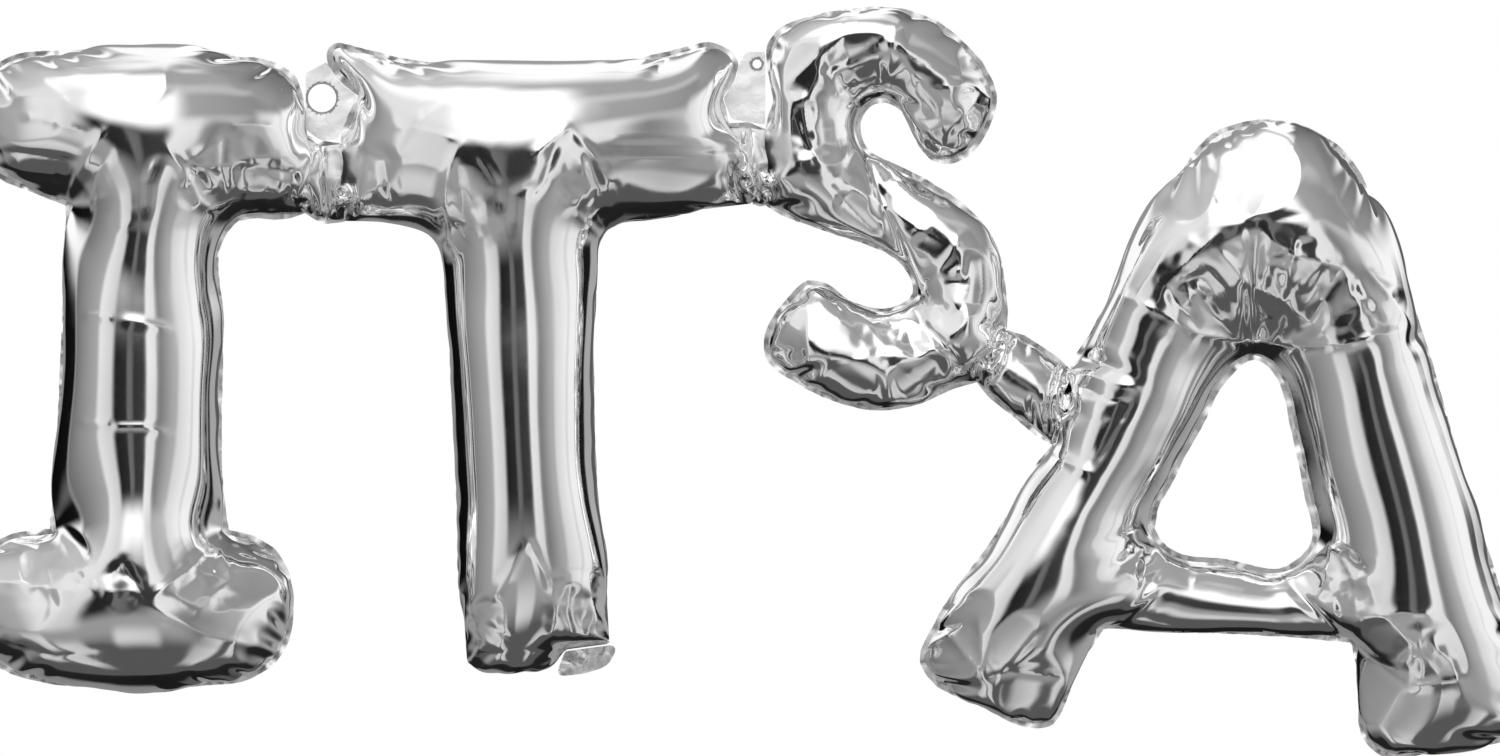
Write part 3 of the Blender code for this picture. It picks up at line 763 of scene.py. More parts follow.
# Creases that the photograph shows: height in mm (below 0 is a groove), half width in mm, and the pixels
# that the crease runs through, across and down, one after the other
CREASES = [
    # T: the two folds that the stem's film makes where it runs up into the bar
    (0.9, 3.2, 467, 141, 456, 160, 450, 180, 447, 204, 452, 238, 443, 249),
    (-0.6, 2.4, 456, 160, 461, 182, 466, 217, 474, 236), (-0.7, 3.0, 478, 152, 499, 186, 502, 214),
    (-0.5, 2.6, 538, 184, 517, 196, 514, 240), (0.9, 3.0, 573, 126, 532, 161),
    (0.7, 2.6, 573, 130, 600, 165, 615, 204), (-0.6, 2.8, 560, 140, 545, 184, 530, 200),
    (0.7, 2.4, 575, 212, 603, 239), (-0.5, 2.2, 585, 150, 600, 190, 590, 214),
    # T: arms
    (0.4, 2.4, 393, 128, 428, 134, 462, 143), (-0.8, 2.6, 386, 162, 388, 180, 392, 203),
    (0.6, 2.4, 352, 208, 370, 192, 388, 181), (-0.4, 2.4, 352, 148, 384, 162, 420, 160),
    (0.5, 2.6, 590, 139, 660, 137, 728, 143), (-0.5, 2.6, 600, 148, 668, 148, 730, 152),
    (0.5, 2.4, 619, 160, 680, 157, 732, 158),
    # T: foot and the film round the valve
    (0.7, 2.6, 530, 538, 512, 572, 492, 603), (-0.6, 2.6, 530, 538, 545, 570, 554, 598),
    (-0.5, 2.4, 550, 577, 580, 571, 608, 574), (0.6, 2.2, 552, 580, 556, 612, 551, 640),
    (-0.5, 2.0, 572, 578, 568, 610, 574, 640), (0.5, 2.0, 590, 576, 594, 612, 586, 642),
    (-0.5, 2.2, 463, 606, 486, 622, 518, 641), (0.5, 2.2, 468, 622, 488, 640, 506, 652),
    (-0.6, 2.6, 466, 655, 530, 650, 608, 643),
    # I: folds at the top of the stem
    (0.9, 3.2, 112, 129, 101, 147, 74, 190, 66, 212), (-0.6, 3.0, 120, 148, 100, 176, 94, 214),
    (0.9, 2.8, 168, 146, 189, 173, 203, 203, 220, 214), (-0.7, 3.0, 165, 156, 152, 184, 150, 222),
    (0.5, 2.4, 182, 150, 214, 178, 226, 196), (-0.7, 2.4, 228, 138, 226, 168, 229, 196),
    (0.5, 2.2, 232, 130, 256, 127, 280, 129), (-0.6, 2.8, 236, 172, 262, 168, 290, 172),
    (0.5, 2.2, 240, 192, 270, 190), (0.5, 2.2, 196, 160, 212, 150, 228, 142),
    (-0.4, 2.2, 192, 178, 210, 172, 226, 174),
    # I: bar
    (-0.5, 3.0, 35, 66, 104, 66, 169, 64), (-0.5, 3.0, 172, 70, 212, 71, 250, 71),
    (0.6, 2.8, 35, 66, 50, 86, 74, 105), (0.4, 2.6, 169, 66, 170, 90, 150, 116),
    (-0.9, 2.6, 0, 152, 40, 156, 84, 163), (0.6, 2.6, 0, 166, 36, 172, 78, 176),
    (0.5, 2.2, 24, 118, 48, 120, 92, 134), (-0.5, 2.4, 56, 168, 60, 186),
    # I: the two creases across the stem
    (0.5, 2.4, 86, 318, 104, 316, 118, 320), (0.6, 2.4, 126, 320, 150, 324, 176, 331),
    (0.5, 2.4, 80, 421, 104, 424, 116, 425), (0.7, 2.4, 112, 426, 148, 426, 176, 434),
    # I: foot
    (0.8, 3.0, 52, 523, 74, 552, 100, 584), (-0.7, 2.8, 30, 523, 46, 560, 64, 612),
    (0.5, 2.4, 50, 566, 76, 572, 102, 592), (0.9, 3.0, 228, 526, 192, 570, 153, 598),
    (0.6, 2.8, 217, 530, 233, 577, 198, 616), (-0.6, 2.6, 232, 552, 262, 560, 291, 573),
    (0.6, 2.8, 148, 600, 210, 632, 276, 652), (-0.6, 2.8, 108, 580, 128, 560, 154, 602),
    (0.5, 2.6, 0, 580, 40, 583, 66, 590), (-0.6, 2.8, 0, 640, 60, 655, 120, 650),
    # S: upper bowl and its end
    (0.7, 3.0, 782, 90, 816, 60, 850, 31), (-0.7, 3.0, 812, 80, 850, 58, 890, 36),
    (0.7, 2.6, 890, 34, 892, 58, 884, 80), (0.6, 2.2, 833, 72, 882, 54), (-0.6, 2.2, 836, 95, 884, 78),
    (0.5, 2.0, 833, 71, 838, 97), (0.9, 2.8, 904, 58, 938, 105, 946, 138),
    (-0.7, 2.8, 904, 56, 950, 76, 990, 80), (0.5, 2.4, 936, 88, 980, 88),
    (0.8, 2.6, 982, 90, 950, 128, 935, 160), (-0.7, 2.6, 996, 112, 980, 138, 964, 158),
    (-0.5, 2.4, 962, 92, 958, 116, 952, 126),
    # S: neck side and spine
    (0.8, 2.8, 802, 90, 805, 136, 822, 177), (-0.7, 2.4, 790, 112, 806, 148, 822, 174),
    (0.5, 2.2, 834, 109, 838, 150), (-0.5, 2.2, 820, 100, 826, 150),
    (0.9, 2.8, 839, 180, 892, 212, 945, 246), (-0.7, 2.6, 822, 180, 866, 222, 911, 260),
    (0.5, 2.6, 829, 211, 856, 232, 890, 253), (-0.5, 2.6, 860, 152, 910, 180, 950, 212),
    # S: lower bowl
    (0.9, 2.8, 962, 231, 950, 256, 918, 298), (-0.7, 2.6, 969, 255, 964, 306, 950, 318),
    (0.6, 2.4, 982, 250, 984, 290, 978, 318), (0.9, 2.6, 808, 296, 808, 334, 808, 370),
    (-0.7, 2.8, 819, 284, 842, 310, 864, 338), (0.6, 2.8, 808, 298, 786, 326, 768, 354),
    (-0.4, 2.4, 770, 352, 808, 352), (0.7, 2.4, 864, 318, 884, 344, 912, 352),
    (-0.6, 2.2, 876, 316, 900, 330, 936, 326), (0.6, 2.2, 890, 356, 920, 346, 946, 352),
    # A: apex
    (0.9, 3.4, 1227, 134, 1216, 172, 1206, 214), (0.9, 3.4, 1297, 134, 1274, 176, 1248, 221),
    (-0.4, 3.0, 1206, 215, 1248, 223, 1308, 215), (-0.5, 3.0, 1226, 130, 1262, 126, 1306, 131),
    (0.5, 3.2, 1308, 138, 1330, 190, 1352, 240),
    # A: crumpled crossing below the apex
    (0.9, 2.8, 1113, 292, 1158, 314, 1200, 335, 1254, 342),
    (0.9, 2.8, 1254, 342, 1300, 346, 1340, 344, 1410, 328), (0.8, 2.8, 1164, 286, 1190, 258, 1218, 232),
    (0.8, 2.8, 1248, 224, 1250, 280, 1252, 336), (-0.8, 2.8, 1164, 286, 1182, 312, 1200, 334),
    (0.6, 2.2, 1182, 274, 1204, 298, 1224, 322), (-0.6, 2.2, 1196, 262, 1220, 288, 1242, 316),
    (0.6, 2.2, 1212, 248, 1230, 268, 1246, 290), (0.7, 2.6, 1256, 232, 1292, 256, 1338, 268),
    (-0.6, 2.4, 1260, 258, 1290, 250, 1310, 240), (0.6, 2.2, 1292, 238, 1284, 282),
    (-0.8, 2.6, 1338, 268, 1322, 296, 1306, 320), (0.9, 2.8, 1356, 262, 1384, 296, 1412, 330),
    (-0.6, 2.4, 1344, 280, 1362, 306, 1382, 330), (-0.6, 2.6, 1113, 290, 1132, 256, 1152, 222),
    (0.6, 2.4, 1130, 300, 1150, 272, 1166, 246),
    # A: left leg and foot
    (0.8, 2.6, 1082, 372, 1110, 384, 1138, 388), (-0.7, 2.6, 1076, 384, 1104, 398, 1132, 404),
    (0.8, 2.8, 1044, 444, 1066, 462, 1092, 474), (-0.5, 2.8, 1134, 392, 1112, 430, 1090, 472),
    (0.9, 3.0, 936, 616, 962, 650, 984, 678), (-0.8, 2.8, 984, 678, 1008, 670, 1068, 677),
    (0.7, 2.8, 978, 614, 980, 646, 985, 678), (-0.7, 2.8, 1046, 622, 1020, 652, 1000, 678),
    # A: right foot and the ends of the crossbar
    (0.8, 2.8, 1362, 618, 1396, 610, 1430, 612), (-0.7, 2.8, 1356, 642, 1382, 668, 1406, 686),
    (0.9, 2.8, 1406, 686, 1432, 682, 1462, 676), (0.6, 2.6, 1412, 618, 1416, 650, 1420, 682),
    (0.7, 2.6, 1420, 636, 1446, 660, 1462, 700), (0.7, 2.6, 1110, 560, 1136, 580, 1172, 560),
    (-0.7, 2.6, 1126, 540, 1146, 566, 1140, 600), (0.8, 2.8, 1306, 556, 1336, 580, 1372, 584),
    (-0.7, 2.8, 1322, 600, 1346, 586, 1366, 556), (0.6, 2.6, 1336, 548, 1350, 580, 1352, 618),
    (-0.4, 3.0, 1186, 580, 1240, 590, 1300, 584),
]

# Crumpled patches, in the photograph's pixels: place, reach in mm, strength
CRUMPLES = [
    (305, 174, 17, 1.0), (766, 170, 17, 1.0), (991, 357, 13, 0.9), (1058, 404, 12, 0.7), (345, 166, 12, 1.0),
    (738, 160, 12, 0.8), (771, 152, 12, 1.0), (450, 236, 12, 0.8), (474, 222, 14, 0.6),
    (586, 186, 17, 0.7), (606, 226, 9, 0.8),
    (206, 186, 12, 0.7), (246, 158, 15, 0.6), (262, 200, 13, 0.4), (98, 206, 10, 0.3), (128, 220, 8, 0.3),
    (860, 74, 15, 0.6), (832, 158, 13, 0.7), (786, 148, 15, 0.8), (905, 332, 21, 0.9), (950, 104, 15, 0.5),
    (1190, 292, 18, 0.6), (1290, 270, 19, 0.6), (1372, 306, 15, 0.6), (1144, 566, 15, 0.7),
    (1342, 584, 18, 0.8), (1416, 650, 12, 0.6), (482, 632, 14, 0.7), (580, 608, 17, 0.9),
    (60, 566, 17, 0.6), (212, 574, 17, 0.6), (128, 584, 12, 0.5), (1104, 402, 13, 0.4), (30, 540, 12, 0.4),
]

# Broad faceted patches, in the same terms
FACETS = [
    (930, 90, 48, 0.8), (850, 60, 40, 0.6), (880, 330, 55, 0.7), (1260, 290, 55, 0.6), (420, 160, 40, 0.3),
]

# Places where the film is pinched so finely that it looks matt, in the same terms
PINCHES = [(771, 150, 12, 1.3), (346, 165, 12, 1.3), (738, 160, 8, 0.4), (320, 172, 9, 0.4)]

# Flat facets, in the photograph's pixels: place, reach in mm, and how flat, from 0 to 1
FLATS = [
    (1248, 174, 16, 0.75), (1192, 190, 10, 0.5), (1215, 270, 11, 0.8),
    (1290, 300, 11, 0.8), (1332, 296, 8, 0.8), (1170, 300, 7, 0.8), (950, 652, 12, 0.5), (1034, 696, 13, 0.6),
    (1012, 640, 10, 0.6), (972, 618, 9, 0.6), (1410, 704, 13, 0.5), (1375, 690, 10, 0.6),
    (1440, 650, 10, 0.6), (1380, 640, 8, 0.7), (1165, 572, 8, 0.7), (1330, 576, 9, 0.7),
    (800, 70, 9, 0.8), (850, 52, 10, 0.8), (938, 48, 12, 0.6), (974, 76, 9, 0.7), (930, 100, 8, 0.8),
    (978, 108, 8, 0.8), (948, 128, 7, 0.5), (860, 76, 7, 0.8), (805, 130, 8, 0.8), (826, 142, 6, 0.8),
    (870, 170, 8, 0.6), (902, 208, 9, 0.6), (860, 214, 8, 0.6), (940, 250, 8, 0.8), (975, 282, 9, 0.8),
    (955, 302, 8, 0.8), (930, 330, 9, 0.8), (880, 340, 8, 0.8), (838, 340, 9, 0.6), (785, 344, 9, 0.5),
    (850, 384, 10, 0.5), (920, 380, 9, 0.5),
    (240, 150, 9, 0.8), (270, 176, 9, 0.8), (200, 186, 7, 0.8),
    (60, 562, 10, 0.7), (20, 604, 12, 0.5), (210, 590, 10, 0.7), (250, 588, 10, 0.7), (266, 632, 12, 0.5),
    (30, 120, 11, 0.5), (50, 170, 8, 0.6),
    (370, 172, 9, 0.6), (416, 180, 8, 0.6), (480, 186, 7, 0.7), (585, 180, 8, 0.8), (490, 622, 8, 0.7),
    (580, 612, 8, 0.8),
]

# The creases as they are made: height and reach as shares of the figures above, how steeply they rise from
# their ends, how high they are there, and their height behind
CREASE_DEPTH = 0.6
CREASE_REACH = 1.7
CREASE_RISE = 5
CREASE_END = 0.1
CREASE_BEHIND = 0.6

# A flat facet, in shares of its reach: the middle that gives its direction, the ring that gives its level,
# its end, and the length over which it fades out
FLAT_CORE = 0.5
FLAT_RING = (0.85, 1.15)
FLAT_END = 1.6
FLAT_FADE = 0.5

# How steeply a patch gains strength from its border, and the distance from the seam over which all fades out
PATCH_RISE = 1.6
SEAM_CALM = 3

# Fields of facets: their span, how far their places are scattered as a share of their size, and the strength
# below which a patch has none
FIELD_X = (-345, 346)
FIELD_Z = (-305, 36)
SCATTER = 0.42
LEAST_STRENGTH = 0.01


def in_frame(points):
    """Places (x, z) in mm of points given in the photograph's pixels."""
    return (np.array(points, float) - PIXEL_ORIGIN) * (PIXEL, -PIXEL)


def spot_distance(px, pz, places):
    """Distance in mm of each place from a spot in the photograph's pixels."""
    x, z = in_frame((px, pz))
    return np.hypot(places[:, 0] - x, places[:, 2] - z)


def flattened(places, faces, give):
    """The film with its flat facets, each cut a little below the round of the film."""
    normals = normals_of(places, faces)
    for px, pz, reach, flat in FLATS:
        apart = spot_distance(px, pz, places) / reach
        for side in (-1, 1):
            near = np.nonzero((apart < FLAT_END) & (places[:, 1] * side > 0))[0]
            core = near[apart[near] < FLAT_CORE]
            ring = near[(apart[near] > FLAT_RING[0]) & (apart[near] < FLAT_RING[1])]
            if len(core) and len(ring):
                out = normals[core].mean(axis=0)
                out /= np.linalg.norm(out)
                over = np.maximum((places[near] - places[ring].mean(axis=0)) @ out, 0)
                over *= flat * give[near] * np.clip((FLAT_END - apart[near]) / FLAT_FADE, 0, 1)
                places[near] -= over[:, None] * out
    return places


def creased(places):
    """Height that the creases add at each place, less of it behind."""
    height = np.zeros(len(places))
    flat = places[:, [0, 2]]
    for depth, reach, *line in CREASES:
        line = in_frame(np.reshape(line, (-1, 2)))
        reach = reach * CREASE_REACH
        low, high = line.min(axis=0) - reach, line.max(axis=0) + reach
        near = np.nonzero(((flat > low) & (flat < high)).all(axis=1))[0]
        apart = np.full(len(near), np.inf)
        along = np.zeros(len(near))
        for k, (a, b) in enumerate(zip(line, line[1:])):
            share = np.clip((flat[near] - a) @ (b - a) / ((b - a) @ (b - a)), 0, 1)
            distance = np.linalg.norm(flat[near] - a - share[:, None] * (b - a), axis=1)
            nearer = distance < apart
            apart[nearer] = distance[nearer]
            along[nearer] = (k + share[nearer]) / (len(line) - 1)
        ends = np.minimum(1, CREASE_RISE * np.minimum(along, 1 - along) + CREASE_END)
        height[near] += CREASE_DEPTH * depth * np.maximum(0, 1 - apart / reach) ** 2 * ends
    return height * np.where(places[:, 1] < 0, 1.0, CREASE_BEHIND)


def spots(patches, places):
    """Strength of the patches at each place, on both sides."""
    strength = np.zeros(len(places))
    for px, pz, reach, most in patches:
        share = PATCH_RISE * (1 - spot_distance(px, pz, places) / reach)
        strength = np.maximum(strength, most * np.clip(share, 0, 1))
    return strength


class Facets:
    """A field of flat facets over the row: random heights in mm at scattered places, on each side."""

    def __init__(self, step, seed, high):
        random = np.random.default_rng(seed)
        xs, zs = np.meshgrid(np.arange(*FIELD_X, step), np.arange(*FIELD_Z, step))
        shift = random.uniform(-SCATTER, SCATTER, (xs.size, 2)) * step
        self.flat, self.triangles = delaunay(np.column_stack([xs.ravel(), zs.ravel()]) + shift, [], 0)
        self.heights = random.uniform(-1, 1, (len(self.flat), 2)) * high

    def height(self, places, strength):
        """Height that the field adds at each place."""
        height = np.zeros(len(places))
        near = np.nonzero(strength > LEAST_STRENGTH)[0]
        if len(near):
            corners, shares = read_over(self.flat, self.triangles, places[near][:, [0, 2]])
            side = (places[near, 1] > 0).astype(int)
            height[near] = (self.heights[corners, side[:, None]] * shares).sum(1) * strength[near]
        return height


# Size of the facets in mm, a number for their places, and how high they stand in mm
FINE = Facets(4.6, 5, 0.4)
MIDDLE = Facets(9.0, 6, 1.0)
BROAD = Facets(21.0, 7, 1.8)


# Materials

# Film roughness added where it is crumpled and where it is pinched, and the height of its grain in metres
CRUMPLED_ROUGH = 0.04
PINCHED_ROUGH = 0.35
GRAIN = 0.000002

# How far the gathers at a seam reach, in mm, the shortest and the longest
GATHER_REACH = (3.0, 17.0)

# The punched holes: place and radius in metres; how far the film around one is darkened with painted shade,
# and its tone there
PUNCHED = [((-0.184, 0, -0.0144), 0.006), ((0, 0, 0), 0.002)]
HOLE_SHADE_REACH = 0.0016
HOLE_SHADE_TONE = 0.30


class Shader:
    """A node tree being built: each call adds a node and gives its first output, unless told otherwise."""

    def __init__(self, tree):
        self.tree = tree
        tree.nodes.clear()

    def add(self, kind, inputs=(), output=0, **settings):
        node = self.tree.nodes.new(kind)
        for key, value in settings.items():
            setattr(node, key, value)
        for key, value in dict(inputs).items():
            if isinstance(value, bpy.types.NodeSocket):
                self.tree.links.new(value, node.inputs[key])
            else:
                node.inputs[key].default_value = value
        return node.outputs[output] if node.outputs else node

    def noise(self, place, scale, detail, rough=0.5):
        inputs = {"Vector": place, "Scale": scale, "Detail": detail, "Roughness": rough}
        return self.add("ShaderNodeTexNoise", inputs)

    def math(self, operation, a, b=0.0):
        return self.add("ShaderNodeMath", {0: a, 1: b}, operation=operation)

    def step(self, value, low, high, to_low=0.0, to_high=1.0, kind="SMOOTHSTEP"):
        """A smooth step from to_low to to_high as the value goes from low to high."""
        inputs = {0: value, 1: low, 2: high, 3: to_low, 4: to_high}
        return self.add("ShaderNodeMapRange", inputs, interpolation_type=kind)

    def surface(self, inputs):
        shader = self.add("ShaderNodeBsdfPrincipled", inputs)
        self.add("ShaderNodeOutputMaterial", {0: shader})


def new_material(name):
    """A new material, its node tree and the place on the object, in metres, as an output."""
    material = bpy.data.materials.new(name)
    material.use_nodes = True
    tree = Shader(material.node_tree)
    return material, tree, tree.add("ShaderNodeTexCoord", output=3)


def foil(name, grey, rough, gathers=0.0, crumple=0.0, metal=1.0, holes=()):
    """Metallised film: gathered along its seam and duller in patches, or crumpled all over."""
    material, tree, place = new_material(name)
    wave = tree.noise(place, 30.0, 2.0)
    speck = tree.noise(place, 900.0, 2.0, 0.6)
    wear = tree.noise(place, 140.0, 4.0, 0.65)
    height = tree.math("MULTIPLY", speck, GRAIN)
    dull = tree.step(wear, 0.35, 0.75, rough * 0.7, rough * 1.5)
    if gathers:
        zones = tree.add("ShaderNodeAttribute", output=1, attribute_name="zones")
        gap, crumpled, pinched = tree.add("ShaderNodeSeparateXYZ", {0: zones}, output=slice(3))
        seam_at = tree.add("ShaderNodeAttribute", output=1, attribute_name="seam_at")
        reach = tree.step(tree.noise(seam_at, 70.0, 1.0), 0.42, 0.68, *GATHER_REACH)
        fade = tree.step(tree.math("DIVIDE", gap, reach), 0.0, 1.0, 1.0, 0.0)
        fold = tree.math("MULTIPLY", tree.noise(seam_at, 330.0, 2.0), fade)
        height = tree.math("ADD", height, tree.math("MULTIPLY", fold, gathers))
        dull = tree.math("ADD", dull, tree.math("MULTIPLY", crumpled, CRUMPLED_ROUGH))
        dull = tree.math("ADD", dull, tree.math("MULTIPLY", pinched, PINCHED_ROUGH))
    elif crumple:
        inputs = {"Vector": place, "Scale": 240.0}
        cells = tree.add("ShaderNodeTexVoronoi", inputs, feature="DISTANCE_TO_EDGE")
        height = tree.math("ADD", height, tree.math("MULTIPLY", cells, crumple))
    tone = tree.step(wave, 0.3, 0.7, grey - 0.03, grey + 0.02, "LINEAR")
    # Painted shade: a dark ring round each punched hole, so that the hole reads as a dark spot
    for middle, radius in holes:
        apart = tree.add("ShaderNodeVectorMath", {0: place, 1: middle}, output=1, operation="DISTANCE")
        ragged = tree.math("MULTIPLY", tree.step(speck, 0.3, 0.7, 0.5, 1.2), HOLE_SHADE_REACH)
        rim = tree.math("DIVIDE", tree.math("SUBTRACT", apart, radius), ragged)
        tone = tree.math("MULTIPLY", tone, tree.step(rim, 0.5, 1.0, HOLE_SHADE_TONE, 1.0))
    bump = tree.add("ShaderNodeBump", {"Strength": 1.0, "Distance": 1.0, "Height": height})
    tree.surface({"Base Color": tone, "Metallic": metal, "Roughness": dull, "Normal": bump})
    return material


MIRROR = foil("mirror_foil_film", 0.93, 0.07, gathers=0.00015)
SEAM = foil("seam_foil_film", 0.90, 0.34)
TAB = foil("tab_foil_film", 0.97, 0.45, crumple=0.0003, metal=0.3, holes=PUNCHED)
VALVE = foil("valve_film_tail", 0.78, 0.3, crumple=0.0004, metal=0.85)


# The row of letters

def kept(piece, slot, replaced, film):
    """Hands a piece over: what it replaces, and that it moves as the named film does, or stays in place for a
    film across a crease; slot is not used.
    """
    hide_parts(replaced)
    if film in BLENDS:
        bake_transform(piece)
    else:
        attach(piece, FILMS[film][1])


def film_halves(name):
    """Makes the front and back film of one inflated piece, and gives the runs of its seam."""
    film, places = blown_up(name)
    values = np.column_stack([film.smoothed(places), *film.seam_places()])
    values, faces = refined(values, film.faces, film.held)
    places, seam_at, gap = values[:, :3], values[:, 3:6], values[:, 6]
    give = np.clip(gap / SEAM_CALM, 0, 1)
    places = flattened(places, faces, give)
    crumpled, broad = spots(CRUMPLES, places), spots(FACETS, places)
    lift = creased(places) + BROAD.height(places, broad)
    lift += FINE.height(places, crumpled) + MIDDLE.height(places, crumpled)
    places += normals_of(places, faces) * (lift * give)[:, None]
    fields = {"seam_at": seam_at * MM, "zones": np.column_stack([gap, crumpled, spots(PINCHES, places)])}
    front = np.tile(np.repeat([True, False], len(film.sheet)), 4)
    for side, half in (("front", faces[front]), ("back", faces[~front])):
        used, half = np.unique(half, return_inverse=True)
        piece = mesh_piece(f"{name}_{side}_film", places[used], half.reshape(-1, 3).tolist(), MIRROR)
        for key, field in fields.items():
            field = field[used].astype(np.float32).ravel()
            piece.data.attributes.new(key, "FLOAT_VECTOR", "POINT").data.foreach_set("vector", field)
        kept(piece, "mirror_foil", f"{name}_{side}", name)
    return seam_runs(film, FILMS[name][0])


runs = {name: film_halves(name) for name in FILMS}

# The strips of the seams. The second run of the T itself is a short one in its left gate, so no strip shows
# along its stem and foot, where the seam is the join of the two halves.
on_t = [runs[name] for name in ("neck_i_t", "letter_t", "neck_t_s")]
for name, source, film in (
    ("letter_i_seam", runs["letter_i"], "letter_i"),
    ("letter_t_seam_upper", [ends[0] for ends in on_t], "letter_t"),
    ("letter_t_seam_lower", [ends[1] for ends in on_t], "letter_t"),
    ("letter_s_seam_upper", runs["letter_s"][:1], "letter_s"),
    ("letter_s_seam_lower", runs["letter_s"][1:], "letter_s"),
    ("letter_a_seam", [run for run in runs["letter_a"] if not run[1]] + runs["neck_s_a"], "neck_s_a"),
    ("letter_a_counter_seam", [run for run in runs["letter_a"] if run[1]], "letter_a"),
):
    kept(edge_strip(name, source), "seam_foil", name, film)

for name, crumple, grow, material, slot in (
    ("tab_i_t", 0.35, 0.0, TAB, "tab_foil"),
    ("tab_t_s", 0.35, 0.0, TAB, "tab_foil"),
    ("filling_valve", 0.5, 1.8, VALVE, "valve_film"),
):
    kept(flat_film(name, crumple, grow, material), slot, name, "letter_t")


# Studio: a pale floor well below, and a white room with grey and black panels that the mirror film shows

# The floor: radius and level in mm, and number of its corners
FLOOR_RADIUS = 900
FLOOR_LEVEL = -470
FLOOR_CORNERS = 96


def floor():
    material, tree, place = new_material("pale_floor")
    speck = tree.noise(place, 6.0, 5.0)
    tree.surface({"Base Color": tree.step(speck, 0.3, 0.7, 0.84, 0.89, "LINEAR"), "Roughness": 0.6})
    turns = 2 * math.pi * np.arange(FLOOR_CORNERS) / FLOOR_CORNERS
    level = np.full(FLOOR_CORNERS, FLOOR_LEVEL)
    points = np.column_stack([FLOOR_RADIUS * np.cos(turns), FLOOR_RADIUS * np.sin(turns), level])
    disc = mesh_piece("floor", points, [list(range(FLOOR_CORNERS))], material)
    disc.visible_glossy = False


# Panels of the room as the film shows them: azimuth from and to, elevation from and to, in degrees from the
# camera's side, tones on screen at their left and right ends, and how soft the edges are
PANELS = [
    (-200, 200, -60, 10, 0.62, 0.68, 10),
    (-200, 200, -120, -38, 0.38, 0.38, 14),
    (-210, -96, -120, -30, 0.12, 0.18, 14),
    (96, 210, -120, -30, 0.18, 0.12, 14),
    (-100, 100, 46, 78, 0.68, 0.60, 14),
    (-84, -22, 10, 46, 0.84, 0.92, 12),
    (12, 90, 14, 46, 0.64, 0.44, 12),
    (-200, -142, -60, 50, 0.62, 0.55, 8),
    (142, 168, -60, 60, 0.34, 0.40, 6),
    (-143, -99, -13, 10, 0.07, 0.10, 5),
    (-97, -52, -24, 20, 0.44, 0.68, 8),
    (-51, -30, -22, 18, 0.94, 0.82, 7),
    (-30, 9, -14, 11, 0.14, 0.26, 7),
    (-13, -6, -14, 9, 0.46, 0.40, 4),
    (10, 22, -22, 14, 0.96, 0.90, 4),
    (24, 46, -22, 14, 0.46, 0.72, 8),
    (49, 72, -24, 22, 0.86, 0.98, 8),
    (73, 96, -26, 26, 0.98, 0.98, 8),
    (98, 116, -14, 14, 0.10, 0.14, 5),
    (58, 150, 26, 78, 0.60, 0.42, 14),
    (-150, -60, 34, 78, 0.62, 0.80, 14),
    (-60, -18, 46, 68, 0.96, 1.14, 12),
    (-25, 8, 15, 64, 1.16, 1.16, 13),
    (-44, -30, -72, -36, 0.92, 0.82, 5),
    (26, 44, -70, -40, 0.72, 0.92, 6),
    (-14, 8, -44, -28, 0.92, 0.86, 5),
    (-62, -48, -52, -28, 0.80, 0.95, 5),
    (54, 66, -54, -28, 0.95, 0.80, 5),
]

# The edges above and below a panel are softer: by this share, and at least this much in degrees
TALL_SOFT = 1.4
LEAST_SOFT = 14

# Light of the room for a tone on screen: the power that turns one into the other, and its shares low and high
SCREEN_POWER = 2.2
LOW_SHARE = 0.80
HIGH_SHARE = 1.08


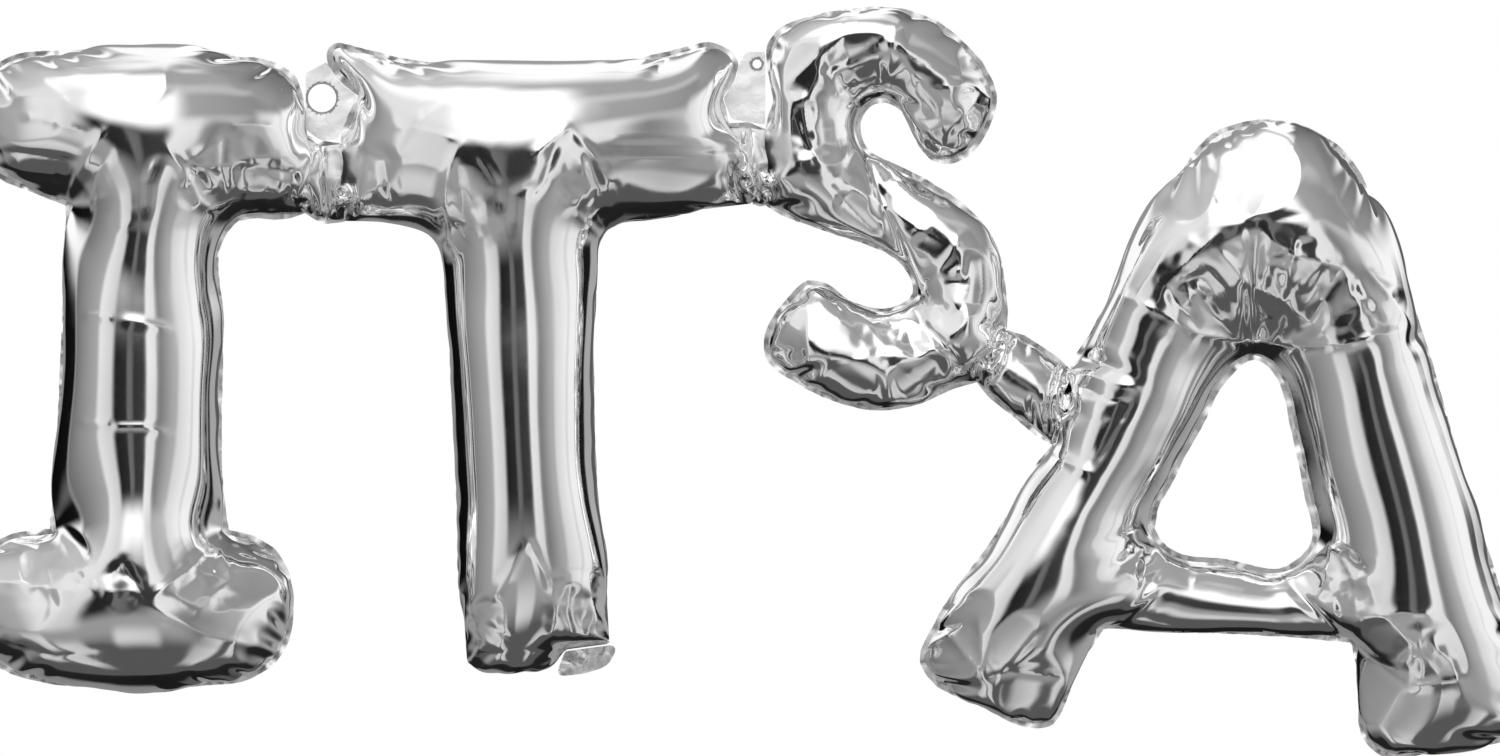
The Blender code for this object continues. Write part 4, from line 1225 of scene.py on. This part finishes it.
def studio():
    world = bpy.data.worlds.new("studio")
    world.use_nodes = True
    bpy.context.scene.world = world
    tree = Shader(world.node_tree)
    x, y, z = tree.add("ShaderNodeSeparateXYZ", {0: tree.add("ShaderNodeTexCoord")}, output=slice(3))
    degree = 180 / math.pi
    turn = tree.math("MULTIPLY", tree.math("ARCTAN2", x, tree.math("MULTIPLY", y, -1.0)), degree)
    height = tree.math("MULTIPLY", tree.math("ARCSINE", z), degree)

    def between(value, low, high, soft):
        rise = tree.step(value, low - soft / 2, low + soft / 2)
        return tree.math("MULTIPLY", rise, tree.step(value, high - soft / 2, high + soft / 2, 1.0, 0.0))

    tone = 1.0
    for left, right, low, high, *shown, soft in PANELS:
        tall = max(TALL_SOFT * soft, LEAST_SOFT)
        mask = tree.math("MULTIPLY", between(turn, left, right, soft), between(height, low, high, tall))
        light = tree.step(turn, left, right, *[tone_seen**SCREEN_POWER for tone_seen in shown], "LINEAR")
        tone = tree.add("ShaderNodeMix", {0: mask, 2: tone, 3: light}, data_type="FLOAT")
    tone = tree.math("MULTIPLY", tone, tree.step(height, -50.0, 40.0, LOW_SHARE, HIGH_SHARE))
    seen = tree.add("ShaderNodeLightPath")
    tone = tree.add("ShaderNodeMix", {0: seen, 2: tone, 3: 1.0}, data_type="FLOAT")
    light = tree.add("ShaderNodeBackground", {"Color": tone, "Strength": 1.0})
    tree.add("ShaderNodeOutputWorld", {0: light})


def lamp():
    """A soft lamp for the floor and the tabs; the mirror film doesn't show it."""
    data = bpy.data.lights.new("soft_lamp", "SUN")
    data.energy = 1.6
    data.angle = math.radians(50)
    light = linked("soft_lamp", data)
    light.rotation_euler = Vector((0.25, 0.65, -0.7)).to_track_quat("-Z", "Y").to_euler()
    light.visible_glossy = False


# The camera: its distance and the width of its view in metres, the middle of the view, and its film's width
DISTANCE = 4.0
VIEW_WIDTH = 0.6346
VIEW_MIDDLE = (-0.00296, -0.13285)
FILM_WIDTH = 36.0


def camera():
    data = bpy.data.cameras.new("camera")
    data.sensor_width = FILM_WIDTH
    data.lens = FILM_WIDTH * DISTANCE / VIEW_WIDTH
    data.clip_end = 50.0
    eye = linked("camera", data)
    eye.location = (VIEW_MIDDLE[0], -DISTANCE, VIEW_MIDDLE[1])
    eye.rotation_euler = (math.pi / 2, 0, 0)
    bpy.context.scene.camera = eye


floor()
studio()
lamp()
camera()
bpy.context.scene.view_settings.view_transform = "Standard"
